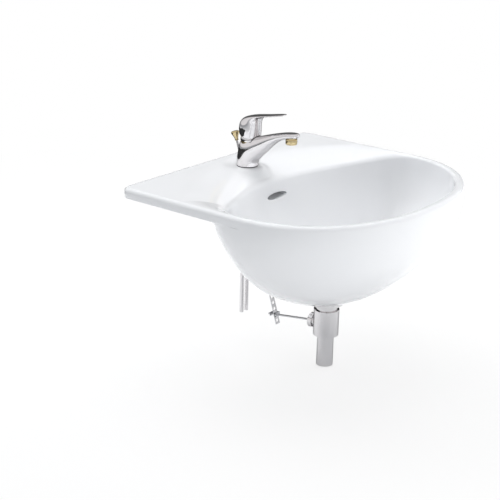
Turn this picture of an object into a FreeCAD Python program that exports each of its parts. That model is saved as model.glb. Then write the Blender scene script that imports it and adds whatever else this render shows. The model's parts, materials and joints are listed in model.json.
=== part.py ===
"""Semi recessed basin with a single lever tap, its fixings and a pop-up waste.

Millimetres. The origin lies on the seating face, in the middle of the rear ledge that rests on the
worktop. +X is to the right of somebody who stands at the basin, +Y points to the wall, +Z is up.
"""
import FreeCAD, Part
import math
import os
from FreeCAD import Vector

os.makedirs("parts", exist_ok=True)

UP = Vector(0, 0, 1)
RIGHT = Vector(1, 0, 0)
BACK = Vector(0, 1, 0)

# ---------------------------------------------------------------- driving sizes: ceramic
basin_width = 560.0
basin_depth = 489.0
ledge_width = 30.0            # rear ledge on the worktop
widest_from_front = 218.0     # from the front of the bowl back to its widest line
rim_rise = 19.0               # rim above the worktop
rim_rounding = 8.0            # outer edge of the rim
rim_width = 17.0              # outer edge to the start of the inner wall
lip_rounding = 6.0            # inner edge of the rim
rear_lip_spread = 3.0         # how much wider the inner edge rounds over at the rear
corner_radius = 20.0          # rear corners in plan
bowl_drop = 202.0             # outer shell below the worktop
plan_power = 2.19             # fullness of the outline in plan
shell_power = 1.82            # fullness of the outer shell in elevation
inner_power = 2.1             # fullness of the bowl inside
bowl_floor = 180.0            # waste seat below the worktop
waste_seat_radius = 34.0
bowl_from_tap = 42.0          # from the tap axis forward to the inner wall, at the lip
rear_wall_power = 1.1         # nearly straight slope of the rear wall
rear_wall = 16.0              # horizontal thickness of the rear wall
waste_boss_radius = 36.0
waste_boss_drop = 4.5
waste_hole_radius = 23.0
dish_half_width = 225.0       # shallow fall of the deck round the tap
dish_half_depth = 95.0
dish_fall = 5.0
dish_from_tap = 45.0
dish_ball_height = 30.0       # vertical half axis of the body that cuts the dish
platform_radius = 25.0
platform_z = 15.0

overflow_width = 60.0
overflow_height = 11.0
overflow_drop = 30.0          # centre of the slot below the worktop
channel_width = 46.0
channel_wall = 10.0           # ceramic between bowl and channel
channel_gap = 12.0
channel_outer_wall = 9.0
channel_foot_width = 36.0
channel_foot_height = 10.0
channel_foot_drop = 7.0       # ceramic left between the waste seat and the channel's foot
housing_rounding = 10.0
housing_from_tap = 28.0       # room for the fixing plate behind the housing

# ---------------------------------------------------------------- driving sizes: tap
tap_from_wall_edge = 71.0     # tap axis to the rear edge of the basin
tap_hole_radius = 17.5
base_seal_thickness = 1.0
tap_base_radius = 21.8
column_radius = 20.8
column_height = 50.0
column_foot_height = 5.0      # foot, before the column narrows
column_foot_taper = 0.3
column_waist_height = 25.0    # from here on the column has its own radius
column_lean = 5.2             # top of the column stands this far forward
spigot_radius = 16.9
spigot_length = 6.0
inlet_spacing = 15.0
inlet_radius = 4.5
inlet_thread_length = 10.0
inlet_behind_axis = 2.0
inlet_bore = 3.0
pipe_radius = 4.0             # pipes that bring the water
pipe_drop = 290.0             # their lower ends below the worktop
pipe_neck_radius = 3.7
pipe_neck_drop = 30.0         # the neck ends this far below the worktop
pipe_thread_tail = 3.0        # thread seen below the tap
stud_radius = 3.0
stud_forward = 13.0
stud_grip = 14.0              # thread length inside the column
gasket_recess = 1.0           # the gasket lies this deep in the deck's underside
gasket_recess_gap = 1.0       # room round it there
gasket_thickness = 2.0
plate_thickness = 2.0
plate_radius = 22.5
plate_mouth_radius = 13.9
plate_mouth_behind = 7.0       # centre of the mouth behind the tap axis
fixing_nut_height = 5.0
fixing_nut_flats = 10.0
stud_tail = 4.0               # stud below the nut
spout_reach = 119.0
spout_bore = 3.0
spout_bore_from_axis = 8.0    # start of the spout's bore in front of the cartridge axis
spout_bore_rise = 9.0         # and above the floor of the cartridge's pocket
nozzle_from_axis = 104.0
nozzle_radius = 11.2
nozzle_recess_gap = 0.3       # round the collar where the spout's underside dips beside it
nozzle_bottom = 59.0          # above the foot of the column
nozzle_top = 70.0
nozzle_thread_radius = 9.4
nozzle_thread_length = 7.0
nozzle_bore = 8.2
nozzle_mouth = 7.4
nozzle_ledge = 1.5
nozzle_boss_wall = 1.2
nozzle_boss_height = 6.0
nozzle_washer_thickness = 1.5

# heights of the tap are measured from the foot of the column
pocket_bottom = 30.0
cartridge_radius = 17.5
cartridge_seal_thickness = 1.2
cartridge_shoulder = 44.0
cartridge_neck_radius = 13.0
cartridge_neck_top = 57.0
carrier_radius = 10.4
carrier_bottom = 45.0
carrier_top = 56.0
nut_top = 49.5
nut_neck_gap = 0.5
pivot_height = 52.0
stem_size = 7.0
stem_bottom = 46.5
stem_top = 84.0
stem_pin_radius = 1.5
stem_pin_length = 18.4
dome_radius = 18.4
dome_wall = 1.4
dome_opening = 12.6
dome_clearance = 0.5
hood_rim_radius = 20.8
hood_radius = 22.1
hood_widest = 74.0
hood_top = 95.5
hood_rim_front = 51.3
hood_rim_rear = 61.0
hood_clearance = 0.6          # between the hood and the shoulder of the spout
screw_height = 79.0
screw_radius = 2.5
cover_radius = 3.2
cover_depth = 2.5

# lift rod, measured along the rod from the foot of the column
rod_radius = 2.0
rod_tilt = 18.0               # degrees from upright, leaning to the wall
rod_behind_axis = 12.9        # rod axis behind the tap axis at the foot of the column
rod_top = 60.0
knob_start = 46.0
knob_end = 65.5
knob_radius = 8.0
knob_lift = 28.0
clamp_centre = -110.0
clamp_length = 12.0
clamp_width = 15.0
clamp_wall = 5.0
clamp_screw_radius = 2.5
clamp_screw_length = 10.0
clamp_head_radius = 5.0
clamp_head_length = 5.0
strap_width = 12.0
strap_thickness = 1.6
strap_hole_radius = 3.5
strap_hole_pitch = 12.0
strap_holes = 7
strap_end = 7.0               # strap beyond its last hole and above the clamp

# ---------------------------------------------------------------- driving sizes: waste
flange_radius = 31.5
flange_thickness = 3.0
flange_throat = 3.0           # height of the flared throat
flange_seal_thickness = 1.5
waste_thread_radius = 20.95
waste_bore = 17.5
waste_thread_length = 64.0    # from the underside of the flange
window_width = 18.0
backnut_flats = 52.0
backnut_height = 8.0
slip_washer_thickness = 2.0
slip_washer_radius = 27.5
taper_height = 6.0
taper_radius = 26.5
tee_radius = 24.5
tee_grip = 12.0
tee_length = 52.0
tee_seal_thickness = 1.2
tail_radius = 16.0
tail_neck_radius = 15.5       # where it is screwed in the tee
tail_neck_tail = 1.5          # neck seen below the tee
tail_bore = 14.5
tail_length = 75.0
tail_grip = 12.0
tail_seal_thickness = 1.2
tail_stop = 1.3
plug_radius = 29.0
plug_thickness = 2.5
plug_dome = 4.0
plug_gap = 0.5                # plug over the flange when closed
plug_lift = 7.5
hub_radius = 13.5
hub_length = 12.0
ring_thickness = 3.0
stem_radius = 5.0
stem_tail = 8.0               # stem below its eye

ball_drop = 262.0             # pivot ball below the worktop
ball_from_axis = 27.0
ball_radius = 6.5
seat_radius = 7.4
seat_half_length = 5.5
seat_mouth = 4.6
port_radius = 11.0
port_mouth = 5.0
nut_wall = 3.2
nut_end_wall = 2.5
nut_mouth = 3.8
nut_grip = 6.0
lever_rest_angle = 8.5        # degrees, outer end low
lever_inner_end = 30.0        # pivot rod towards the plug, from the ball
lever_overhang = 17.0         # pivot rod beyond the strap at rest
eye_half_width = 2.4
eye_half_height = 3.2
clip_play = 4.0               # clip beyond the strap's travel along the pivot rod
clip_thickness = 0.6
clip_height = 8.0
clip_reach = 8.5

slip = 0.06                   # radial clearance of a sliding fit
seat_gap = 0.02               # radial clearance of a seated or threaded piece

# ---------------------------------------------------------------- places worked out from the sizes
half_width = basin_width / 2
rear_y = ledge_width / 2
front_y = rear_y - basin_depth
bowl_y = front_y + widest_from_front
rim_z = rim_rise
lip_z = rim_z - lip_rounding
floor_z = -bowl_floor
shell_z = -bowl_drop
boss_z = shell_z - waste_boss_drop
tap_y = rear_y - tap_from_wall_edge
rear_reach_top = tap_y - bowl_from_tap - bowl_y
tap_z = platform_z + base_seal_thickness
cartridge_y = tap_y - column_lean
pivot_z = tap_z + pivot_height
rod_direction = Vector(0, math.sin(math.radians(rod_tilt)), math.cos(math.radians(rod_tilt)))
rod_foot = Vector(0, tap_y + rod_behind_axis, tap_z)
ball = Vector(0, bowl_y + ball_from_axis, -ball_drop)

# the used strap hole: where the pivot rod at rest meets the middle plane of the strap
strap_offset = rod_radius + seat_gap + strap_thickness / 2
rod_normal = Vector(0, rod_direction.z, -rod_direction.y)
strap_point = rod_foot + rod_normal * strap_offset
rest_slope = -math.tan(math.radians(lever_rest_angle))
from_ball = strap_point - ball
strap_hole_place = ((rest_slope * from_ball.y - from_ball.z)
                    / (rod_direction.z - rest_slope * rod_direction.y))
hole_at_rest = from_ball + rod_direction * strap_hole_place
lever_outer_end = hole_at_rest.Length + lever_overhang
hole_lifted = hole_at_rest + rod_direction * knob_lift
lever_end_angle = math.degrees(math.atan2(hole_lifted.z, hole_lifted.y))
lever_swing = lever_end_angle + lever_rest_angle
eye_z = ball.z + ball_from_axis * math.tan(math.radians(lever_rest_angle))
eye_fall = ball_from_axis * (math.tan(math.radians(lever_rest_angle))
                             + math.tan(math.radians(lever_end_angle)))

PIECES = {}


# ---------------------------------------------------------------- helpers
def cylinder(radius, start, end):
    """Solid cylinder between two points."""
    axis = end - start
    return Part.makeCylinder(radius, axis.Length, start, axis)


def upright(radius, x, y, low, high):
    """Solid upright cylinder."""
    return cylinder(radius, Vector(x, y, low), Vector(x, y, high))


def tube(outer, inner, x, y, low, high):
    """Upright tube."""
    return upright(outer, x, y, low, high).cut(upright(inner, x, y, low, high))


def box(low, high):
    """Box between two corners given as (x, y, z)."""
    return Part.makeBox(high[0] - low[0], high[1] - low[1], high[2] - low[2], Vector(*low))


def hexagon(across_flats, x, y, low, high):
    """Upright hexagonal prism."""
    radius = across_flats / math.sqrt(3)
    corners = [Vector(x + radius * math.cos(math.radians(60 * i)),
                      y + radius * math.sin(math.radians(60 * i)), low) for i in range(6)]
    return prism(corners, UP * (high - low))


def prism(corners, travel):
    """Extruded polygon."""
    return Part.Face(Part.makePolygon(corners + corners[:1])).extrude(travel)


def revolved(profile, x, y):
    """Solid of revolution about an upright axis, from (radius, z) corners."""
    corners = [Vector(x + radius, y, z) for radius, z in profile]
    face = Part.Face(Part.makePolygon(corners + corners[:1]))
    return face.revolve(Vector(x, y, 0), UP, 360)


def turned(shape, centre, axis, degrees):
    """Copy of a shape, turned about an axis through a point."""
    copy = shape.copy()
    copy.rotate(centre, axis, degrees)
    return copy


def fused(shapes):
    """One clean solid from several that touch or overlap."""
    return shapes[0].multiFuse(shapes[1:]).removeSplitter()


def rod_frame(shape):
    """Shape drawn with the rod along Z from its foot, put in its place on the tap."""
    copy = turned(shape, Vector(), RIGHT, -rod_tilt)
    copy.translate(rod_foot)
    return copy


def lever_frame(shape):
    """Shape drawn with the pivot rod along Y from its ball, put in its place at rest."""
    copy = turned(shape, Vector(), RIGHT, -lever_rest_angle)
    copy.translate(ball)
    return copy


def rounded_wave(value, power):
    """Sine or cosine flattened towards a squarer outline."""
    return math.copysign(abs(value) ** (2 / power), value)


def rounded_loop(points):
    """Closed smooth wire through points."""
    curve = Part.BSplineCurve()
    curve.interpolate(Points=points, PeriodicFlag=True)
    return Part.Wire(curve.toShape())


# ---------------------------------------------------------------- ceramic
def plan_curve(reach_x, front, rear, z):
    """Closed plan outline with its own reach to the front and to the rear, as one curve."""
    steps = 48
    points = []
    for i in range(steps):
        angle = 2 * math.pi * i / steps
        reach_y = rear if i < steps / 2 else front
        points.append(Vector(reach_x * rounded_wave(math.cos(angle), plan_power),
                             bowl_y + reach_y * rounded_wave(math.sin(angle), plan_power), z))
    curve = Part.BSplineCurve()
    curve.interpolate(Points=points, PeriodicFlag=True)
    return curve


def plan_outline(reach_x, front, rear, z):
    """The same outline as a wire."""
    return Part.Wire(plan_curve(reach_x, front, rear, z).toShape())


def deck_outline(inset, z):
    """Outline of the whole basin: straight at the rear and sides, curved at the front."""
    x = half_width - inset
    y = rear_y - inset
    radius = corner_radius - inset
    bend = radius * (1 - math.sqrt(0.5))
    curve = plan_curve(x, widest_from_front - inset, inner_reaches(0)[2] + rear_wall, z)
    front = curve.toShape(curve.parameter(Vector(-x, bowl_y, z)), curve.LastParameter)
    corners = []
    for side in (-1, 1):
        beside = Vector(side * x, y - radius, z)
        middle = Vector(side * (x - bend), y - bend, z)
        behind = Vector(side * (x - radius), y, z)
        corners.append([beside, middle, behind])
    left, right = corners
    return Part.Wire([front,
                      Part.makeLine(Vector(x, bowl_y, z), right[0]),
                      Part.Arc(*right).toShape(),
                      Part.makeLine(right[2], left[2]),
                      Part.Arc(*reversed(left)).toShape(),
                      Part.makeLine(left[0], Vector(-x, bowl_y, z))])


def rounding(radius, steps):
    """Steps of a quarter round: (inset, rise) from upright to level."""
    angles = [math.pi / 2 * i / steps for i in range(steps + 1)]
    return [(radius * (1 - math.cos(angle)), radius * math.sin(angle)) for angle in angles]


def inner_reaches(z):
    """Half width, front reach and rear reach of the inner wall at a height."""
    depth = min(1.0, (lip_z - z) / (lip_z - floor_z))
    round_wall = (1 - depth ** inner_power) ** (1 / inner_power)
    reaches = []
    for top_reach in (half_width - rim_width, widest_from_front - rim_width):
        reaches.append(waste_seat_radius + (top_reach - waste_seat_radius) * round_wall)
    slope = (1 - depth) ** rear_wall_power
    reaches.append(waste_seat_radius + (rear_reach_top - waste_seat_radius) * slope)
    return reaches


def outer_shell():
    """Bowl below the worktop."""
    outlines = []
    deepest = 0.98
    full_drop = bowl_drop / deepest
    for share in (0.0, 0.1, 0.25, 0.4, 0.55, 0.7, 0.82, 0.9, 0.95, deepest):
        z = -full_drop * share
        size = (1 - share ** shell_power) ** (1 / shell_power)
        rear = inner_reaches(z)[2] + rear_wall
        outlines.append(plan_outline(half_width * size, widest_from_front * size, rear, z))
    return Part.makeLoft(outlines, True, False)


def deck_slab():
    """Deck and rim above the worktop, with a rounded outer edge."""
    outlines = [deck_outline(0, 0)]
    for inset, rise in rounding(rim_rounding, 5):
        outlines.append(deck_outline(inset, rim_z - rim_rounding + rise))
    return Part.makeLoft(outlines, True, True)


def bowl_cavity():
    """Inside of the bowl, with the rounded lip at its top."""
    outlines = []
    for depth in (1.0, 0.97, 0.91, 0.82, 0.7, 0.55, 0.4, 0.25, 0.12, 0.0):
        z = lip_z - (lip_z - floor_z) * depth
        outlines.append(plan_outline(*inner_reaches(z), z))
    bowl = Part.makeLoft(outlines, True, False)
    reach_x, front, rear = inner_reaches(lip_z)
    lips = []
    for spread, rise in rounding(lip_rounding, 4) + [(lip_rounding, lip_rounding + 1)]:
        lips.append(plan_outline(reach_x + spread, front + spread, rear + spread * rear_lip_spread,
                                 lip_z + rise))
    return bowl.fuse(Part.makeLoft(lips, True, True))


def deck_dish():
    """Shallow body that takes the fall of the deck out of the slab."""
    spread = math.sqrt(1 - (1 - dish_fall / dish_ball_height) ** 2)
    ball = Part.makeSphere(1.0)
    matrix = FreeCAD.Matrix()
    matrix.scale(dish_half_width / spread, dish_half_depth / spread, dish_ball_height)
    matrix.move(Vector(0, tap_y - dish_from_tap, rim_z + dish_ball_height - dish_fall))
    lens = ball.transformGeometry(matrix)
    reach = basin_width
    keep = box((-reach, -reach, 0), (reach, reach, rim_z + 1))
    return lens.common(keep)


def rear_wall_line(offset, z):
    """Y at a height on a line parallel to the inner rear wall, offset to the rear."""
    top_z = -overflow_drop
    low_z = floor_z + (lip_z - floor_z) * 0.15
    top_y = bowl_y + inner_reaches(top_z)[2]
    low_y = bowl_y + inner_reaches(low_z)[2]
    run = (top_y - low_y) / (top_z - low_z)
    return top_y + run * (z - top_z) + offset * math.sqrt(1 + run ** 2)


def slanted_slab(width, near, far, high, low):
    """Slab along the rear wall, between two offsets from it and two heights."""
    corners = [Vector(-width / 2, rear_wall_line(near, high), high),
               Vector(-width / 2, rear_wall_line(far, high), high),
               Vector(-width / 2, rear_wall_line(far, low), low),
               Vector(-width / 2, rear_wall_line(near, low), low)]
    return prism(corners, RIGHT * width)


channel_outer = channel_wall + channel_gap
channel_high = -overflow_drop + overflow_height / 2
channel_low = floor_z - channel_foot_drop - channel_foot_height


def overflow_slot(y_from, y_to):
    """Level slot with round ends, through the rear wall."""
    straight = (overflow_width - overflow_height) / 2
    radius = overflow_height / 2
    z = -overflow_drop
    slot = box((-straight, y_from, z - radius), (straight, y_to, z + radius))
    ends = [cylinder(radius, Vector(side * straight, y_from, z), Vector(side * straight, y_to, z))
            for side in (-1, 1)]
    return fused([slot] + ends)


def overflow_channel():
    """Water way from the slot down behind the bowl to the waste hole."""
    duct = slanted_slab(channel_width, channel_wall, channel_outer, channel_high, channel_low)
    slot_end = rear_wall_line(channel_outer - 1, -overflow_drop - overflow_height / 2)
    slot = overflow_slot(rear_wall_line(-rear_wall, -overflow_drop), slot_end)
    half_foot = channel_foot_width / 2
    foot_end = rear_wall_line(channel_wall + 1, channel_low)
    foot = box((-half_foot, bowl_y, channel_low),
               (half_foot, foot_end, channel_low + channel_foot_height))
    return [duct, slot, foot]


def channel_housing():
    """Bulge of the rear wall that holds the overflow channel, widest at the slot."""
    far = channel_outer + channel_outer_wall
    outlines = []
    for inner_width, z in ((overflow_width, 0), (channel_width, shell_z)):
        x = inner_width / 2 + channel_outer_wall
        near_y = rear_wall_line(channel_wall / 2, z)
        far_y = rear_wall_line(far, z)
        corners = [Vector(-x, near_y, z), Vector(x, near_y, z), Vector(x, far_y, z), Vector(-x, far_y, z)]
        outlines.append(Part.makePolygon(corners + corners[:1]))
    bulge = Part.makeLoft(outlines, True, True)
    middle_y = bulge.CenterOfMass.y
    rear_edges = [edge for edge in bulge.Edges
                  if edge.BoundBox.ZLength > bowl_drop / 2 and edge.CenterOfMass.y > middle_y]
    bulge = bulge.makeFillet(housing_rounding, rear_edges)
    limit_y = tap_y - housing_from_tap
    return bulge.common(box((-half_width, front_y, shell_z), (half_width, limit_y, 0)))


def make_basin():
    """The glazed ceramic, one fired piece."""
    solid = fused([deck_slab(), outer_shell()]).cut(deck_dish()).cut(bowl_cavity())
    waste_boss = upright(waste_boss_radius, 0, bowl_y, boss_z, floor_z - 2)
    platform = upright(platform_radius, 0, tap_y, platform_z - 8, platform_z)
    solid = solid.multiFuse([channel_housing(), waste_boss, platform])
    cuts = [upright(platform_radius, 0, tap_y, platform_z, rim_z + 1),
            upright(tap_hole_radius, 0, tap_y, -1, rim_z + 1),
            upright(plate_radius + gasket_recess_gap, 0, tap_y, -1, gasket_recess),
            upright(waste_hole_radius, 0, bowl_y, boss_z - 1, floor_z + 1)]
    for cut in cuts + overflow_channel():
        solid = solid.cut(cut)
    PIECES["basin_body"] = solid


# ---------------------------------------------------------------- tap
def upright_section(y, low, high, reach_x, power=2.5):
    """Closed rounded section in an upright plane across the tap."""
    steps = 24
    points = []
    for i in range(steps):
        angle = 2 * math.pi * i / steps
        rise = (high - low) / 2 * rounded_wave(math.sin(angle), power)
        points.append(Vector(reach_x * rounded_wave(math.cos(angle), power), y,
                             (low + high) / 2 + rise))
    return rounded_loop(points)


def level_circle(radius, y, z):
    """Level circle as a wire."""
    return Part.Wire(Part.makeCircle(radius, Vector(0, y, z), UP))


# forward of the tap axis, underside and top above the foot, half width
spout_sections = [
    (10, 5, 49, 18.0), (24, 7, 58, 17.4), (32, 11, 63, 16.6), (42, 23, 67, 15.8), (52, 37, 69.8, 15.3),
    (64, 51, 73.3, 14.8), (78, 61, 77, 14.3), (92, 67.5, 80, 13.8), (106, 70, 82, 13.2),
    (spout_reach - 5, 71.5, 82.2, 11.0), (spout_reach, 74, 81.5, 6.0)]

# the same, for the lever's blade
blade_sections = [
    (-6, 82, 92, 13.0), (5, 78, 96, 16.5), (16, 74, 99.5, 18.0), (25, 76, 102, 17.0), (29, 87, 103, 15.6),
    (33, 96.5, 104, 14.4), (40, 101.3, 105.4, 13.2), (55, 104.4, 108.2, 12.4), (70, 107.4, 111, 11.8),
    (82, 109.6, 113, 10.4), (88, 111.2, 113.6, 6.0)]


def swept(sections):
    """Loft through upright sections given forward of the tap axis."""
    wires = [upright_section(tap_y - forward, tap_z + low, tap_z + high, reach_x)
             for forward, low, high, reach_x in sections]
    return Part.makeLoft(wires, True, False)


def tap_cylinder(radius, low, high, y=cartridge_y, x=0.0):
    """Upright cylinder between two heights above the foot of the column."""
    return upright(radius, x, y, tap_z + low, tap_z + high)


def make_tap_body():
    """Column and spout in one casting, with its water ways."""
    foot_lean = 0.06 * column_lean
    waist_lean = 0.45 * column_lean
    column = Part.makeLoft([level_circle(tap_base_radius, tap_y, tap_z),
                            level_circle(tap_base_radius - column_foot_taper, tap_y - foot_lean,
                                         tap_z + column_foot_height),
                            level_circle(column_radius, tap_y - waist_lean, tap_z + column_waist_height),
                            level_circle(column_radius, cartridge_y, tap_z + column_height)], True, False)
    nozzle_y = tap_y - nozzle_from_axis
    nozzle_boss = tap_cylinder(nozzle_radius + nozzle_boss_wall, nozzle_top,
                               nozzle_top + nozzle_boss_height, nozzle_y)
    spigot = tap_cylinder(spigot_radius, -spigot_length, 0, tap_y)
    solid = fused([column, swept(spout_sections), nozzle_boss, spigot])
    water_start = Vector(0, cartridge_y - spout_bore_from_axis, tap_z + pocket_bottom + spout_bore_rise)
    water_end = Vector(0, nozzle_y, tap_z + nozzle_top + nozzle_thread_length - 0.5)
    thread_top = nozzle_top + nozzle_thread_length + nozzle_washer_thickness
    stud_top = stud_grip - spigot_length
    guide = cylinder(rod_radius + slip, Vector(0, 0, -2 * spigot_length), Vector(0, 0, column_height))
    cuts = [tap_cylinder(cartridge_radius + seat_gap, pocket_bottom, hood_top),
            tap_cylinder(hood_radius + hood_clearance, column_height, hood_top),
            cylinder(spout_bore, water_start, water_end),
            tap_cylinder(nozzle_thread_radius + seat_gap, nozzle_top - 1, thread_top, nozzle_y),
            tap_cylinder(nozzle_radius + nozzle_recess_gap, nozzle_bottom, nozzle_top, nozzle_y),
            rod_frame(guide),
            tap_cylinder(stud_radius + seat_gap, -spigot_length - 1, stud_top, tap_y - stud_forward)]
    for side in (-1, 1):
        x = side * inlet_spacing / 2
        y = tap_y + inlet_behind_axis
        thread_end = inlet_thread_length - spigot_length
        cuts.append(tap_cylinder(inlet_radius, -spigot_length - 1, thread_end, y, x))
        cuts.append(tap_cylinder(inlet_bore, 0, pocket_bottom + 1, y, x))
    for cut in cuts:
        solid = solid.cut(cut)
    PIECES["tap_body"] = max(solid.Solids, key=lambda body: body.Volume)
    PIECES["tap_base_seal"] = tube(tap_base_radius - 1, tap_hole_radius, 0, tap_y, platform_z, tap_z)


def horseshoe(low, high):
    """Plate open to the rear for the rod and the pipes, with a hole for the stud."""
    plate = upright(plate_radius, 0, tap_y, low, high)
    middle_y = tap_y + plate_mouth_behind
    opening = upright(plate_mouth_radius, 0, middle_y, low, high)
    way_out = box((-plate_mouth_radius, middle_y, low),
                  (plate_mouth_radius, tap_y + 2 * plate_radius, high))
    stud_hole = upright(stud_radius + seat_gap, 0, tap_y - stud_forward, low, high)
    return plate.cut(opening).cut(way_out).cut(stud_hole)


def make_fixings():
    """Stud, horseshoe gasket, horseshoe plate and nut under the deck."""
    stud_y = tap_y - stud_forward
    plate_high = gasket_recess - gasket_thickness
    nut_high = plate_high - plate_thickness
    nut_low = nut_high - fixing_nut_height
    stud_high = tap_z - spigot_length + stud_grip - 0.5
    PIECES["fixing_stud"] = upright(stud_radius, 0, stud_y, nut_low - stud_tail, stud_high)
    PIECES["fixing_gasket"] = horseshoe(plate_high, gasket_recess)
    PIECES["fixing_plate"] = horseshoe(nut_high, plate_high)
    bore = upright(stud_radius + seat_gap, 0, stud_y, nut_low, nut_high)
    PIECES["fixing_nut"] = hexagon(fixing_nut_flats, 0, stud_y, nut_low, nut_high).cut(bore)


def make_water_pipes():
    """Hot and cold pipe, each on a threaded neck screwed in the foot of the tap."""
    thread_low = tap_z - spigot_length - pipe_thread_tail
    thread_high = tap_z - spigot_length + inlet_thread_length - 0.5
    for name, side in (("hot_pipe", -1), ("cold_pipe", 1)):
        x = side * inlet_spacing / 2
        y = tap_y + inlet_behind_axis
        pipe = fused([upright(inlet_radius - seat_gap, x, y, thread_low, thread_high),
                      upright(pipe_neck_radius, x, y, -pipe_neck_drop, thread_low),
                      upright(pipe_radius, x, y, -pipe_drop, -pipe_neck_drop)])
        PIECES[name] = pipe.cut(upright(inlet_bore, x, y, -pipe_drop, thread_high))


def make_aerator():
    """Gold nozzle screwed in the spout, its jet insert and its washer."""
    y = tap_y - nozzle_from_axis
    neck_top = nozzle_top + nozzle_thread_length
    insert_bottom = nozzle_bottom + nozzle_ledge
    collar = tap_cylinder(nozzle_radius, nozzle_bottom, nozzle_top, y)
    edges = [edge for edge in collar.Edges if isinstance(edge.Curve, Part.Circle)]
    housing = fused([collar.makeFillet(1.2, edges),
                     tap_cylinder(nozzle_thread_radius, nozzle_top, neck_top, y)])
    housing = housing.cut(tap_cylinder(nozzle_bore, insert_bottom, neck_top, y))
    PIECES["aerator_housing"] = housing.cut(tap_cylinder(nozzle_mouth, nozzle_bottom, insert_bottom, y))
    insert = tap_cylinder(nozzle_bore - seat_gap, insert_bottom, neck_top - 1, y)
    insert = insert.cut(tap_cylinder(nozzle_bore - 1.2, insert_bottom + 2, neck_top - 1, y))
    jets = [tap_cylinder(0.7, insert_bottom, insert_bottom + 2, y)]
    for ring, count in ((2.2, 6), (4.4, 12)):
        for i in range(count):
            angle = 2 * math.pi * i / count
            jets.append(tap_cylinder(0.7, insert_bottom, insert_bottom + 2,
                                     y + ring * math.sin(angle), ring * math.cos(angle)))
    PIECES["aerator_insert"] = insert.cut(Part.makeCompound(jets))
    PIECES["aerator_washer"] = tube(nozzle_thread_radius, nozzle_bore - 1, 0, y, tap_z + neck_top,
                                    tap_z + neck_top + nozzle_washer_thickness)


def make_cartridge():
    """Mixing cartridge: seal, housing, turning carrier, tilting stem, its pin, and the nut."""
    seal_top = pocket_bottom + cartridge_seal_thickness
    seal = tap_cylinder(cartridge_radius - 1.5, pocket_bottom, seal_top)
    housing = fused([tap_cylinder(cartridge_radius, seal_top, cartridge_shoulder),
                     tap_cylinder(cartridge_neck_radius, cartridge_shoulder, cartridge_neck_top)])
    for side in (-1, 1):
        x = side * inlet_spacing / 2
        y = tap_y + inlet_behind_axis
        seal = seal.cut(tap_cylinder(inlet_bore + 0.5, pocket_bottom, seal_top, y, x))
        housing = housing.cut(tap_cylinder(inlet_bore, seal_top, pocket_bottom + 8, y, x))
    PIECES["cartridge_seal"] = seal
    bore = tap_cylinder(carrier_radius, carrier_bottom, cartridge_neck_top)
    PIECES["cartridge_housing"] = housing.cut(bore)
    nut_bore = cartridge_neck_radius + nut_neck_gap
    nut = tube(cartridge_radius, nut_bore, 0, cartridge_y, tap_z + cartridge_shoulder, tap_z + nut_top)
    PIECES["cartridge_nut"] = nut

    pin_start = Vector(-stem_pin_length / 2, cartridge_y, pivot_z)
    pin_end = Vector(stem_pin_length / 2, cartridge_y, pivot_z)
    half_slot = stem_size / 2 + slip
    slot = box((-half_slot, cartridge_y - stem_size, tap_z + carrier_bottom),
               (half_slot, cartridge_y + stem_size, tap_z + carrier_top))
    carrier = tap_cylinder(carrier_radius - slip, carrier_bottom, carrier_top)
    pin_hole = cylinder(stem_pin_radius + seat_gap, pin_start, pin_end)
    PIECES["cartridge_carrier"] = carrier.cut(slot).cut(pin_hole)
    PIECES["stem_pin"] = cylinder(stem_pin_radius, pin_start, pin_end)
    half_stem = stem_size / 2
    stem = box((-half_stem, cartridge_y - half_stem, tap_z + stem_bottom),
               (half_stem, cartridge_y + half_stem, tap_z + stem_top))
    PIECES["cartridge_stem"] = stem.cut(cylinder(stem_pin_radius + slip, pin_start, pin_end))

    centre = Vector(0, cartridge_y, pivot_z)
    dome = Part.makeSphere(dome_radius, centre).cut(Part.makeSphere(dome_radius - dome_wall, centre))
    above = tap_cylinder(dome_radius + 1, column_height, hood_top)
    PIECES["dome_cover"] = dome.common(above).cut(tap_cylinder(dome_opening, pivot_height, hood_top))


def hood_body():
    """Outside of the lever's hood, with its slanted rim."""
    spline = Part.BSplineCurve()
    rise = tap_z + pivot_height - dome_radius / 2
    spline.interpolate([Vector(hood_rim_radius - 0.6, cartridge_y, rise),
                        Vector(hood_rim_radius, cartridge_y, tap_z + hood_rim_front + 4),
                        Vector(hood_radius, cartridge_y, tap_z + hood_widest),
                        Vector(0.76 * hood_radius, cartridge_y, tap_z + hood_top - 7.5),
                        Vector(0, cartridge_y, tap_z + hood_top)])
    axis_foot = Vector(0, cartridge_y, rise)
    profile = Part.Wire([spline.toShape(),
                         Part.makeLine(Vector(0, cartridge_y, tap_z + hood_top), axis_foot),
                         Part.makeLine(axis_foot, Vector(hood_rim_radius - 0.6, cartridge_y, rise))])
    hood = Part.Face(profile).revolve(Vector(0, cartridge_y, 0), UP, 360)
    front = cartridge_y - hood_radius
    rear = cartridge_y + hood_radius
    reach = 2 * hood_radius
    below = [Vector(-reach, front, tap_z + hood_rim_front),
             Vector(-reach, rear, tap_z + hood_rim_rear),
             Vector(-reach, rear, 0),
             Vector(-reach, front, 0)]
    return hood.cut(prism(below, RIGHT * 2 * reach))


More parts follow.
